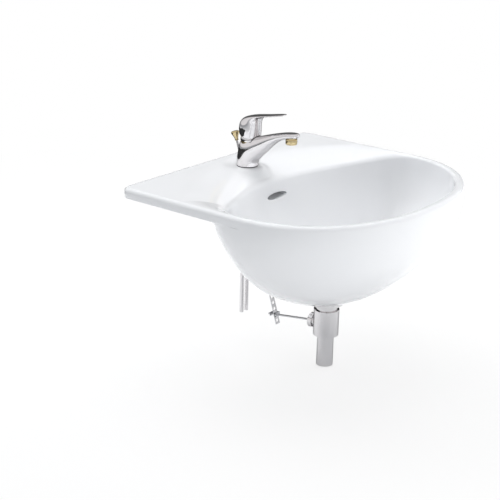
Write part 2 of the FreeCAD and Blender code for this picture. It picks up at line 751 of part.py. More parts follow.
def make_lever():
    """Lever handle with its grub screw and the small cover over the screw."""
    solid = fused([hood_body(), swept(blade_sections)])
    centre = Vector(0, cartridge_y, pivot_z)
    cavity = dome_radius + dome_clearance
    half_socket = stem_size / 2 + seat_gap
    socket = box((-half_socket, cartridge_y - half_socket, pivot_z),
                 (half_socket, cartridge_y + half_socket, tap_z + stem_top + 0.5))
    screw_z = tap_z + screw_height
    front_y = cartridge_y - 2 * hood_radius
    stem_face = cartridge_y - stem_size / 2
    skin_y = cartridge_y - hood_radius + 1
    for cut in (Part.makeSphere(cavity, centre), tap_cylinder(cavity, 0, pivot_height), socket):
        solid = solid.cut(cut)
    cover = cylinder(cover_radius, Vector(0, skin_y + cover_depth, screw_z), Vector(0, front_y, screw_z))
    PIECES["screw_cover"] = cover.common(solid)
    cover_hole = cylinder(cover_radius + seat_gap, Vector(0, skin_y + cover_depth, screw_z),
                          Vector(0, front_y, screw_z))
    screw_hole = cylinder(screw_radius + seat_gap, Vector(0, stem_face, screw_z),
                          Vector(0, front_y, screw_z))
    PIECES["lever_handle"] = solid.cut(cover_hole).cut(screw_hole)
    screw = cylinder(screw_radius, Vector(0, stem_face, screw_z), Vector(0, skin_y + cover_depth, screw_z))
    recess = cylinder(screw_radius / 2, Vector(0, skin_y + cover_depth, screw_z),
                      Vector(0, skin_y + cover_depth + 2, screw_z))
    PIECES["handle_screw"] = screw.cut(recess)


def make_lift_rod():
    """Gold knob, rod, clamp with its screw, and the strap with its row of holes."""
    low = clamp_centre - clamp_length / 2
    high = clamp_centre + clamp_length / 2
    PIECES["lift_rod"] = rod_frame(upright(rod_radius, 0, 0, low - 2, rod_top))
    knob = revolved([(rod_radius + seat_gap, knob_start), (2.9, knob_start), (3.3, knob_start + 4),
                     (6.0, knob_start + 9), (7.6, knob_start + 13), (knob_radius, knob_start + 15),
                     (knob_radius, knob_end - 2), (knob_radius - 1.2, knob_end - 0.6),
                     (knob_radius - 3, knob_end), (0, knob_end), (0, rod_top),
                     (rod_radius + seat_gap, rod_top)],
                    0, 0)
    PIECES["lift_knob"] = rod_frame(knob)

    near = rod_radius + seat_gap
    far = near + strap_thickness
    half_strap = strap_width / 2
    strap_low = strap_hole_place - strap_hole_pitch - strap_end
    strap = box((-half_strap, near, strap_low), (half_strap, far, high + strap_end))
    for i in range(strap_holes):
        z = strap_hole_place + strap_hole_pitch * (i - 1)
        strap = strap.cut(cylinder(strap_hole_radius, Vector(0, 0, z), Vector(0, far + 1, z)))
    PIECES["link_strap"] = rod_frame(strap)

    half_clamp = clamp_width / 2
    front = -near - clamp_wall
    clamp = box((-half_clamp, front, low), (half_clamp, far + clamp_wall / 2, high))
    cuts = [upright(rod_radius + seat_gap, 0, 0, low, high),
            box((-half_strap - seat_gap, near - seat_gap, low),
                (half_strap + seat_gap, far + seat_gap, high)),
            cylinder(clamp_screw_radius + seat_gap, Vector(0, front, clamp_centre),
                     Vector(0, -near, clamp_centre))]
    for cut in cuts:
        clamp = clamp.cut(cut)
    PIECES["rod_clamp"] = rod_frame(clamp)
    head_face = Vector(0, front - clamp_screw_length / 5, clamp_centre)
    shank = cylinder(clamp_screw_radius, Vector(0, -near, clamp_centre), head_face)
    head = cylinder(clamp_head_radius, head_face, head_face - BACK * clamp_head_length)
    PIECES["clamp_screw"] = rod_frame(fused([shank, head]))


def make_pivot():
    """Pivot rod with its ball, the two ball seats, the port nut and the strap's spring clip."""
    rod = cylinder(rod_radius, BACK * -lever_inner_end, BACK * lever_outer_end)
    PIECES["pivot_rod"] = lever_frame(rod)
    bore = cylinder(rod_radius + seat_gap, BACK * -ball_radius, BACK * ball_radius)
    PIECES["pivot_ball"] = lever_frame(Part.makeSphere(ball_radius).cut(bore))

    for name, side in (("ball_seat_inner", -1), ("ball_seat_outer", 1)):
        seat = cylinder(seat_radius - seat_gap, ball, ball + BACK * side * seat_half_length)
        seat = seat.cut(Part.makeSphere(ball_radius + slip, ball))
        PIECES[name] = seat.cut(cylinder(seat_mouth, ball, ball + BACK * side * seat_half_length))

    face = ball + BACK * seat_half_length
    outside = cylinder(port_radius + nut_wall, face - BACK * nut_grip, face + BACK * nut_end_wall)
    thread = cylinder(port_radius + seat_gap, face - BACK * nut_grip, face)
    mouth = cylinder(nut_mouth, face, face + BACK * nut_end_wall)
    PIECES["pivot_nut"] = outside.cut(thread).cut(mouth)

    near = hole_at_rest.Length - clip_play
    far = hole_lifted.Length + clip_play
    half_clip = clip_height / 2
    clip = box((-half_clip, near, -half_clip), (clip_reach, far, half_clip))
    inside = box((-half_clip - 1, near + clip_thickness, -half_clip),
                 (clip_reach - clip_thickness, far - clip_thickness, half_clip))
    hole = cylinder(rod_radius + seat_gap, BACK * near, BACK * far)
    PIECES["spring_clip"] = lever_frame(clip.cut(inside).cut(hole))


def make_waste():
    """Flange with its threaded tube, washers and nut, tee with the pivot port, and tail pipe."""
    seal_top = floor_z + flange_seal_thickness
    flange_top = seal_top + flange_thickness
    tube_end = seal_top - waste_thread_length
    flange = revolved([(waste_bore, tube_end), (waste_thread_radius, tube_end),
                       (waste_thread_radius, seal_top), (flange_radius, seal_top),
                       (flange_radius, seal_top + 1),
                       (flange_radius - 2, flange_top), (waste_bore + flange_throat, flange_top),
                       (waste_bore, flange_top - flange_throat)], 0, bowl_y)
    window_low = channel_low + 0.5
    window_high = channel_low + channel_foot_height - 0.5
    reach = 2 * waste_thread_radius
    windows = box((-window_width / 2, bowl_y - reach, window_low),
                  (window_width / 2, bowl_y + reach, window_high))
    PIECES["waste_flange"] = flange.cut(windows)
    PIECES["flange_seal"] = tube(flange_radius - 2, waste_hole_radius, 0, bowl_y, floor_z, seal_top)

    taper_low = boss_z - taper_height
    washer_low = taper_low - slip_washer_thickness
    nut_low = washer_low - backnut_height
    bore = waste_thread_radius + seat_gap
    taper = revolved([(bore, taper_low), (taper_radius, taper_low), (taper_radius, boss_z - 2),
                      (waste_hole_radius + 1.5, boss_z), (bore, boss_z)], 0, bowl_y)
    PIECES["tapered_washer"] = taper
    PIECES["slip_washer"] = tube(slip_washer_radius, bore, 0, bowl_y, washer_low, taper_low)
    nut = hexagon(backnut_flats, 0, bowl_y, nut_low, washer_low)
    PIECES["backnut"] = nut.cut(upright(bore, 0, bowl_y, nut_low, washer_low))

    tee_top = tube_end + tee_grip
    tee_low = tee_top - tee_length
    seal_low = tube_end - tee_seal_thickness
    tail_top = tee_low + tail_grip
    stop_low = tail_top + tail_seal_thickness
    port_end = ball.y + seat_half_length
    tee = fused([upright(tee_radius, 0, bowl_y, tee_low, tee_top),
                 cylinder(port_radius, Vector(0, bowl_y + waste_bore + 1, ball.z),
                          Vector(0, port_end, ball.z))])
    cuts = [upright(bore, 0, bowl_y, seal_low, tee_top),
            upright(waste_bore, 0, bowl_y, stop_low + tail_stop, seal_low),
            upright(tail_bore, 0, bowl_y, stop_low, seal_low),
            upright(tail_neck_radius + seat_gap, 0, bowl_y, tee_low, stop_low),
            cylinder(seat_radius, ball - BACK * seat_half_length, ball + BACK * 2 * seat_half_length),
            cylinder(port_mouth, Vector(0, bowl_y, ball.z), ball)]
    for cut in cuts:
        tee = tee.cut(cut)
    PIECES["waste_tee"] = tee
    PIECES["tee_seal"] = tube(waste_thread_radius, waste_bore, 0, bowl_y, seal_low, tube_end)
    tail_low = tail_top - tail_length
    neck_low = tee_low - tail_neck_tail
    tail = fused([upright(tail_radius, 0, bowl_y, tail_low, neck_low),
                  upright(tail_neck_radius, 0, bowl_y, neck_low, tail_top)])
    PIECES["tailpiece"] = tail.cut(upright(tail_bore, 0, bowl_y, tail_low, tail_top))
    PIECES["tail_seal"] = tube(tail_neck_radius, tail_bore, 0, bowl_y, tail_top, stop_low)


def make_plug():
    """Domed plug, shown raised, with its seal ring and the stem that the pivot rod moves."""
    flange_top = floor_z + flange_seal_thickness + flange_thickness
    under = flange_top + plug_gap + eye_fall
    edge_top = under + plug_thickness
    radius = (plug_radius ** 2 + plug_dome ** 2) / (2 * plug_dome)
    cap = Part.makeSphere(radius, Vector(0, bowl_y, edge_top + plug_dome - radius))
    disc = upright(plug_radius, 0, bowl_y, under, edge_top + plug_dome).common(cap)
    ring_high = under - flange_throat - 1
    ring_low = ring_high - ring_thickness
    hub = upright(hub_radius, 0, bowl_y, under - hub_length, under)
    groove = tube(hub_radius, hub_radius - 2, 0, bowl_y, ring_low, ring_high)
    head = fused([disc, hub]).cut(groove)
    stem_high = under - hub_length / 2
    head = head.cut(upright(stem_radius + seat_gap, 0, bowl_y, under - hub_length, stem_high))
    PIECES["plug_head"] = head
    PIECES["plug_seal"] = tube(waste_bore - slip, hub_radius - 2, 0, bowl_y, ring_low, ring_high)
    eye = box((-eye_half_width, bowl_y - 2 * stem_radius, eye_z - eye_half_height),
              (eye_half_width, bowl_y + 2 * stem_radius, eye_z + eye_half_height))
    stem = upright(stem_radius, 0, bowl_y, eye_z - stem_tail, stem_high)
    PIECES["plug_stem"] = stem.cut(eye)


make_basin()
make_tap_body()
make_fixings()
make_water_pipes()
make_aerator()
make_cartridge()
make_lever()
make_lift_rod()
make_pivot()
make_waste()
make_plug()

for name, shape in PIECES.items():
    shape.exportStep(f"parts/{name}.step")
    print(name, "solids", len(shape.Solids), "valid", shape.isValid(), "volume", round(shape.Volume))
print("lever swing", round(lever_swing, 3), "eye fall", round(eye_fall, 3),
      "strap hole", hole_at_rest + ball)
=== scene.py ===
"""Semi recessed basin with its single lever tap and pop-up waste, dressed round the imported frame.

Metres, in the frame of the CAD model: the origin lies on the seating face, in the middle of the rear
ledge, +X is to the right of somebody who stands at the basin, +Y points to the wall and +Z is up.
"""
import json
import logging
import math
from dataclasses import dataclass, field
from enum import Enum
from typing import Callable, Sequence

import bmesh
import bpy
from mathutils import Matrix, Vector


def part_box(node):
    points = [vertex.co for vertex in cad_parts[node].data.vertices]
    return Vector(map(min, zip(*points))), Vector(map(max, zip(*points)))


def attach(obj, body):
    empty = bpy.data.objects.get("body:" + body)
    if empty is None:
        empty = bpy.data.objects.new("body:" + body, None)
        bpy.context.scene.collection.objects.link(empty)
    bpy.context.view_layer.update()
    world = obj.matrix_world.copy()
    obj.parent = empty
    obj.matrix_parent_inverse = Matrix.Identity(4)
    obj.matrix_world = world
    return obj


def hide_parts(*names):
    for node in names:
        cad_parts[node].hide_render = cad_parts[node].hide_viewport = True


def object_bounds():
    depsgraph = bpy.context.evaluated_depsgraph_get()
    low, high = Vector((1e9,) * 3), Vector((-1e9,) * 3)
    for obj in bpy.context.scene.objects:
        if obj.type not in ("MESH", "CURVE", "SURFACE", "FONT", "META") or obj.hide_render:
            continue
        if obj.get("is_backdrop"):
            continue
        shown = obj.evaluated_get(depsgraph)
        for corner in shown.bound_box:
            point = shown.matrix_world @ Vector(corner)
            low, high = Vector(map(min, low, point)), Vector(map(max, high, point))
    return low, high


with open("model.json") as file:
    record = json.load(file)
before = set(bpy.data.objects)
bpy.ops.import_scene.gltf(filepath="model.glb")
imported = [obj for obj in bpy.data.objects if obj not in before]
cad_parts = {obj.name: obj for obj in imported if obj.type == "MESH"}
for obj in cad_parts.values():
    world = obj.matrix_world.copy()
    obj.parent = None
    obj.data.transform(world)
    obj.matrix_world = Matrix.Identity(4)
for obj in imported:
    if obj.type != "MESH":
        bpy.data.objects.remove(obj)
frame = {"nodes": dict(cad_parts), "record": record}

log = logging.getLogger("basin_scene")

MM = 0.001
SHARP_ANGLE = math.radians(32)
WELD = 0.01 * MM
RELIEF_DEPTH = 0.1 * MM
COAT_ROUGHNESS = 0.03
FINE_STEPS = 96
SMOOTH_LEVELS = 3
TINY = 1e-9


class Body(Enum):
    """Bodies of the frame on which the pieces built here ride."""

    BASIN = "basin"
    LEVER = "lever"
    LIFT = "lift"
    PLUG = "plug"


class Slot(Enum):
    """Material slots of the record."""

    CERAMIC = "ceramic"
    CHROME = "chrome"
    GOLD = "gold"
    STEEL = "steel"
    RAW_BRASS = "raw_brass"
    WHITE_PLASTIC = "white_plastic"
    RUBBER = "rubber"


# ------------------------------------------------------------------ shared shader groups
def group_socket(tree: bpy.types.NodeTree, name: str, kind: str, way: str) -> None:
    """Adds one socket to a node group.

    Args:
        tree: The node group.
        name: The socket's name.
        kind: "Float", "Color" or "Vector".
        way: "INPUT" or "OUTPUT".
    """
    tree.interface.new_socket(name=name, in_out=way, socket_type=f"NodeSocket{kind}")


def add_node(tree: bpy.types.NodeTree, kind: str, **values: object) -> bpy.types.Node:
    """Adds a shader node and sets its properties.

    Args:
        tree: The tree that gets the node.
        kind: The node's type without its ShaderNode prefix.
        values: Properties to set on it.

    Returns:
        The new node.
    """
    node = tree.nodes.new(f"ShaderNode{kind}")
    for name, value in values.items():
        setattr(node, name, value)
    return node


def soft_range(
    tree: bpy.types.NodeTree,
    start: float,
    end: float,
    low: float,
    high: float,
) -> bpy.types.Node:
    """Adds a node that goes softly from low to high while its value goes from start to end.

    Args:
        tree: The tree that gets the node.
        start: The value where the change starts.
        end: The value where it ends.
        low: The result before the start.
        high: The result after the end.

    Returns:
        The new node.
    """
    node = add_node(tree, "MapRange", interpolation_type="SMOOTHSTEP")
    for name, value in (("From Min", start), ("From Max", end), ("To Min", low), ("To Max", high)):
        node.inputs[name].default_value = value
    return node


def background(
    tree: bpy.types.NodeTree,
    color: tuple[float, float, float],
    strength: float = 1.0,
) -> bpy.types.Node:
    """Adds a background shader of one colour and strength."""
    node = add_node(tree, "Background")
    node.inputs["Color"].default_value = (*color, 1.0)
    node.inputs["Strength"].default_value = strength
    return node


def surface_group() -> bpy.types.NodeTree:
    """Builds the group of slow colour drift, roughness drift and fine relief that all finishes share.

    Returns:
        The node group, which gives a colour, a roughness and a height.
    """
    tree = bpy.data.node_groups.new("surface_character", "ShaderNodeTree")
    group_socket(tree, "Base", "Color", "INPUT")
    group_socket(tree, "Tint", "Color", "INPUT")
    for name in ("Drift Scale", "Drift Amount", "Grain Scale", "Roughness", "Roughness Spread", "Stretch"):
        group_socket(tree, name, "Float", "INPUT")
    group_socket(tree, "Color", "Color", "OUTPUT")
    group_socket(tree, "Roughness", "Float", "OUTPUT")
    group_socket(tree, "Height", "Float", "OUTPUT")
    given = tree.nodes.new("NodeGroupInput")
    result = tree.nodes.new("NodeGroupOutput")
    link = tree.links.new
    place = add_node(tree, "TexCoord")
    stretch = add_node(tree, "CombineXYZ")
    stretch.inputs["X"].default_value = 1.0
    stretch.inputs["Y"].default_value = 1.0
    link(given.outputs["Stretch"], stretch.inputs["Z"])
    scaled = add_node(tree, "VectorMath", operation="MULTIPLY")
    link(place.outputs["Object"], scaled.inputs[0])
    link(stretch.outputs["Vector"], scaled.inputs[1])
    drift = add_node(tree, "TexNoise")
    drift.inputs["Detail"].default_value = 3.0
    link(place.outputs["Object"], drift.inputs["Vector"])
    link(given.outputs["Drift Scale"], drift.inputs["Scale"])
    grain = add_node(tree, "TexNoise")
    grain.inputs["Detail"].default_value = 4.0
    link(scaled.outputs["Vector"], grain.inputs["Vector"])
    link(given.outputs["Grain Scale"], grain.inputs["Scale"])
    amount = add_node(tree, "Math", operation="MULTIPLY")
    link(drift.outputs["Fac"], amount.inputs[0])
    link(given.outputs["Drift Amount"], amount.inputs[1])
    blend = add_node(tree, "Mix", data_type="RGBA")
    link(amount.outputs["Value"], blend.inputs["Factor"])
    link(given.outputs["Base"], blend.inputs["A"])
    link(given.outputs["Tint"], blend.inputs["B"])
    link(blend.outputs["Result"], result.inputs["Color"])
    both = add_node(tree, "Math", operation="MULTIPLY_ADD")
    half = add_node(tree, "Math", operation="SUBTRACT")
    half.inputs[1].default_value = 0.5
    link(grain.outputs["Fac"], half.inputs[0])
    link(half.outputs["Value"], both.inputs[0])
    link(given.outputs["Roughness Spread"], both.inputs[1])
    link(given.outputs["Roughness"], both.inputs[2])
    link(both.outputs["Value"], result.inputs["Roughness"])
    link(grain.outputs["Fac"], result.inputs["Height"])
    return tree


@dataclass(frozen=True)
class Finish:
    """One finish: its colour, its fine pattern, and how it takes light.

    The colour drifts towards the tint in slow patches and the grain is drawn out by the stretch. The edge is
    a grey that tints the reflection at a low angle; below 1 it is a painted darker reflection along the
    outlines.
    """

    name: str
    slot: Slot
    color: tuple[float, float, float]
    tint: tuple[float, float, float]
    metallic: float = 0.0
    roughness: float = 0.2
    roughness_spread: float = 0.06
    drift_scale: float = 8.0
    drift_amount: float = 0.3
    grain_scale: float = 400.0
    stretch: float = 1.0
    relief: float = 0.02
    coat: float = 0.0
    # edge below 1 paints a darker reflection at grazing angles along a piece's outlines
    edge: float = 1.0

    def material(self, group: bpy.types.NodeTree) -> bpy.types.Material:
        """Builds the material, or gives the one already built.

        Args:
            group: The shared surface group.

        Returns:
            The node material.
        """
        known = bpy.data.materials.get(self.name)
        if known:
            return known
        material = bpy.data.materials.new(self.name)
        material.use_nodes = True
        tree = material.node_tree
        shader = tree.nodes["Principled BSDF"]
        surface = add_node(tree, "Group", node_tree=group)
        surface.inputs["Base"].default_value = (*self.color, 1.0)
        surface.inputs["Tint"].default_value = (*self.tint, 1.0)
        for name, value in (("Drift Scale", self.drift_scale), ("Drift Amount", self.drift_amount),
                            ("Grain Scale", self.grain_scale), ("Roughness", self.roughness),
                            ("Roughness Spread", self.roughness_spread), ("Stretch", self.stretch)):
            surface.inputs[name].default_value = value
        relief = add_node(tree, "Bump")
        relief.inputs["Strength"].default_value = self.relief
        relief.inputs["Distance"].default_value = RELIEF_DEPTH
        link = tree.links.new
        link(surface.outputs["Color"], shader.inputs["Base Color"])
        link(surface.outputs["Roughness"], shader.inputs["Roughness"])
        link(surface.outputs["Height"], relief.inputs["Height"])
        link(relief.outputs["Normal"], shader.inputs["Normal"])
        shader.inputs["Metallic"].default_value = self.metallic
        shader.inputs["Coat Weight"].default_value = self.coat
        shader.inputs["Coat Roughness"].default_value = COAT_ROUGHNESS
        # the grey edge tint paints a darker reflection at grazing angles, in place of dark surroundings
        # mirrored along the outlines
        shader.inputs["Specular Tint"].default_value = (self.edge, self.edge, self.edge, 1.0)
        return material


GLAZE = Finish("white_glaze", Slot.CERAMIC, (0.88, 0.885, 0.895), (0.84, 0.855, 0.88),
               roughness=0.07, roughness_spread=0.03, drift_scale=5.0, drift_amount=0.35,
               grain_scale=55.0, relief=0.04, coat=0.6)
# chrome and gold take an edge below 1: a painted darker reflection along their outlines at grazing angles
CHROME = Finish("polished_chrome", Slot.CHROME, (0.80, 0.785, 0.79), (0.74, 0.725, 0.735),
                metallic=1.0, roughness=0.07, roughness_spread=0.03, drift_scale=18.0, drift_amount=0.5,
                grain_scale=260.0, relief=0.015, edge=0.35)
GOLD = Finish("polished_gold", Slot.GOLD, (0.66, 0.54, 0.30), (0.56, 0.46, 0.28),
              metallic=1.0, roughness=0.1, roughness_spread=0.04, drift_scale=60.0, drift_amount=0.5,
              grain_scale=500.0, relief=0.02, edge=0.6)
STEEL = Finish("drawn_steel", Slot.STEEL, (0.60, 0.60, 0.61), (0.48, 0.48, 0.50),
               metallic=1.0, roughness=0.28, roughness_spread=0.2, drift_scale=40.0, drift_amount=0.6,
               grain_scale=900.0, stretch=0.05, relief=0.08)
RAW_BRASS = Finish("machined_brass", Slot.RAW_BRASS, (0.66, 0.52, 0.26), (0.50, 0.38, 0.20),
                   metallic=1.0, roughness=0.3, roughness_spread=0.15, drift_scale=60.0, drift_amount=0.6,
                   grain_scale=1200.0, stretch=6.0, relief=0.1)
WHITE_PLASTIC = Finish("white_acetal", Slot.WHITE_PLASTIC, (0.80, 0.80, 0.77), (0.72, 0.72, 0.70),
                       roughness=0.4, roughness_spread=0.1, drift_scale=40.0, drift_amount=0.5,
                       grain_scale=1500.0, relief=0.1)
RUBBER = Finish("black_rubber", Slot.RUBBER, (0.025, 0.025, 0.027), (0.06, 0.06, 0.06),
                roughness=0.65, roughness_spread=0.15, drift_scale=60.0, drift_amount=0.5,
                grain_scale=1800.0, relief=0.3)
FINISHES = {finish.slot: finish
            for finish in (GLAZE, CHROME, GOLD, STEEL, RAW_BRASS, WHITE_PLASTIC, RUBBER)}


# ------------------------------------------------------------------ small maths
def rounded_wave(value: float, power: float) -> float:
    """Gives a sine or cosine flattened towards a squarer outline."""
    return math.copysign(abs(value) ** (2 / power), value)


def smooth_step(value: float, start: float, end: float) -> float:
    """Gives 0 before start, 1 after end, and a soft rise between them."""
    share = min(1.0, max(0.0, (value - start) / (end - start)))
    return share * share * (3 - 2 * share)


def spread(count: int, start: float = 0.0, end: float = 1.0) -> list[float]:
    """Gives count + 1 even steps from start to end."""
    return [start + (end - start) * i / count for i in range(count + 1)]


# ------------------------------------------------------------------ mesh building
class Skin:
    """A mesh grown ring by ring: each new ring is extruded from the last and moved to its place."""

    def __init__(self, first: Sequence[Vector]) -> None:
        """Starts with one ring of vertices.

        Args:
            first: The places of the first ring, in order.
        """
        self.mesh = bmesh.new()
        made = bmesh.ops.create_circle(self.mesh, cap_ends=False, radius=1.0, segments=len(first))
        self.ring: list[bmesh.types.BMVert] = list(made["verts"])
        self.first = self.ring
        for vert, place in zip(self.ring, first):
            vert.co = place

    def edges_of(self, ring: Sequence[bmesh.types.BMVert]) -> list[bmesh.types.BMEdge]:
        """Finds the edges that join a ring's vertices in order.

        Args:
            ring: The ring's vertices.

        Returns:
            Its edges.
        """
        return [self.mesh.edges.get((a, b)) for a, b in zip(ring, [*ring[1:], ring[0]])]

    def grow(self, places: Sequence[Vector]) -> None:
        """Extrudes the last ring to new places.

        Args:
            places: One place for each vertex of the ring.
        """
        made = bmesh.ops.extrude_edge_only(self.mesh, edges=self.edges_of(self.ring))
        fresh = {item for item in made["geom"] if isinstance(item, bmesh.types.BMVert)}
        following = []
        for vert, place in zip(self.ring, places):
            twin = next(edge.other_vert(vert) for edge in vert.link_edges if edge.other_vert(vert) in fresh)
            twin.co = place
            following.append(twin)
        self.ring = following

    def cap(self, ring: Sequence[bmesh.types.BMVert] | None = None) -> None:
        """Closes a ring, the last one if none is named, with faces round its middle."""
        verts = list(ring or self.ring)
        face = self.mesh.faces.new(verts)
        bmesh.ops.poke(self.mesh, faces=[face])

    def close(self) -> None:
        """Joins the last ring to the first."""
        bmesh.ops.bridge_loops(self.mesh, edges=self.edges_of(self.ring) + self.edges_of(self.first))

    def close_ends(self, step: float, share: float = 0.4) -> None:
        """Closes both ends, the last one over a smaller ring further from the wall.

        Args:
            step: How much further that ring lies, in millimetres.
            share: Its size as a share of the last ring's.
        """
        middle = sum((vert.co for vert in self.ring), Vector()) / len(self.ring)
        ahead = Vector((0, -step, 0)) * MM
        self.grow([middle + (vert.co - middle) * share + ahead for vert in self.ring])
        self.cap()
        self.cap(self.first)


def to_object(mesh: bmesh.types.BMesh, name: str) -> bpy.types.Object:
    """Makes a bmesh an object of the scene, and frees it."""
    data = bpy.data.meshes.new(name)
    mesh.to_mesh(data)
    mesh.free()
    made = bpy.data.objects.new(name, data)
    bpy.context.scene.collection.objects.link(made)
    return made


def keep_result(piece: bpy.types.Object) -> None:
    """Makes what the piece's modifiers give its own mesh, and takes the modifiers off."""
    bpy.context.view_layer.update()
    result = bpy.data.meshes.new_from_object(piece.evaluated_get(bpy.context.evaluated_depsgraph_get()))
    piece.modifiers.clear()
    old = piece.data
    name = old.name
    piece.data = result
    bpy.data.meshes.remove(old)
    result.name = name


def finish_mesh(
    mesh: bmesh.types.BMesh,
    name: str,
    finish: Finish,
    body: Body,
    group: bpy.types.NodeTree,
    node: str,
    smooth_levels: int = 0,
) -> bpy.types.Object:
    """Turns a bmesh into a dressed piece of the scene.

    Args:
        mesh: The shape, which is freed.
        name: The piece's name.
        finish: Its finish.
        body: The CAD body it rides on.
        group: The shared surface group.
        node: The CAD node it stands for.
        smooth_levels: Levels of subdivision.

    Returns:
        The piece.
    """
    bmesh.ops.remove_doubles(mesh, verts=mesh.verts, dist=WELD)
    bmesh.ops.recalc_face_normals(mesh, faces=mesh.faces)
    piece = to_object(mesh, name)
    data = piece.data
    data.polygons.foreach_set("use_smooth", [True] * len(data.polygons))
    data.materials.append(finish.material(group))
    if smooth_levels:
        smooth = piece.modifiers.new("smooth", "SUBSURF")
        smooth.levels = smooth_levels
        smooth.render_levels = smooth_levels
        keep_result(piece)
    else:
        data.set_sharp_from_angle(angle=SHARP_ANGLE)
    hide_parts(node)
    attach(piece, body.value)
    log.info("%s: %d faces, rides on %s", name, len(piece.data.polygons), body.value)
    return piece


def lathe(profile: Sequence[tuple[float, float]], centre: Vector, steps: int = 64) -> bmesh.types.BMesh:
    """Spins a closed outline of (radius, height) points round an upright axis.

    Args:
        profile: Radii and heights from the centre, in millimetres, with a radius of 0 only at its ends.
        centre: A point on the axis, in metres.
        steps: Facets in a full turn.

    Returns:
        The closed mesh.
    """
    mesh = bmesh.new()
    verts = [mesh.verts.new(centre + Vector((radius * MM, 0, height * MM))) for radius, height in profile]
    edges = [mesh.edges.new((a, b)) for a, b in zip(verts, verts[1:])]
    if profile[0][0] > 0 and profile[-1][0] > 0:
        edges.append(mesh.edges.new((verts[-1], verts[0])))
    bmesh.ops.spin(mesh, geom=verts + edges, cent=centre, axis=(0, 0, 1), angle=math.tau, steps=steps,
                   use_merge=True)
    bmesh.ops.remove_doubles(mesh, verts=mesh.verts, dist=WELD)
    return mesh


def bar(radius: float, low: float, high: float, centre: Vector, steps: int = 64) -> bmesh.types.BMesh:
    """Builds an upright round bar, with its radius and heights in millimetres from a centre in metres."""
    return lathe([(0, low), (radius, low), (radius, high), (0, high)], centre, steps)


def along_axis(mesh: bmesh.types.BMesh, place: Vector, direction: Vector) -> bmesh.types.BMesh:
    """Moves a mesh made round the origin's Z axis so that it stands at a place, along a direction.

    Args:
        mesh: The mesh to move.
        place: Where its origin goes.
        direction: Where its Z axis points.

    Returns:
        The same mesh.
    """
    turn = direction.to_track_quat("Z", "X").to_matrix().to_4x4()
    bmesh.ops.transform(mesh, matrix=Matrix.Translation(place) @ turn, verts=mesh.verts)
    return mesh


def cut(piece: bpy.types.Object, cutter: bmesh.types.BMesh) -> None:
    """Takes a closed shape out of a piece.

    Args:
        piece: The piece, whose mesh is changed.
        cutter: The shape to take out, which is freed.
    """
    bmesh.ops.recalc_face_normals(cutter, faces=cutter.faces)
    tool = to_object(cutter, "cutter")
    data = tool.data
    boolean = piece.modifiers.new("cut", "BOOLEAN")
    boolean.operation = "DIFFERENCE"
    boolean.solver = "EXACT"
    boolean.object = tool
    keep_result(piece)
    bpy.data.objects.remove(tool)
    bpy.data.meshes.remove(data)
    piece.data.set_sharp_from_angle(angle=SHARP_ANGLE)


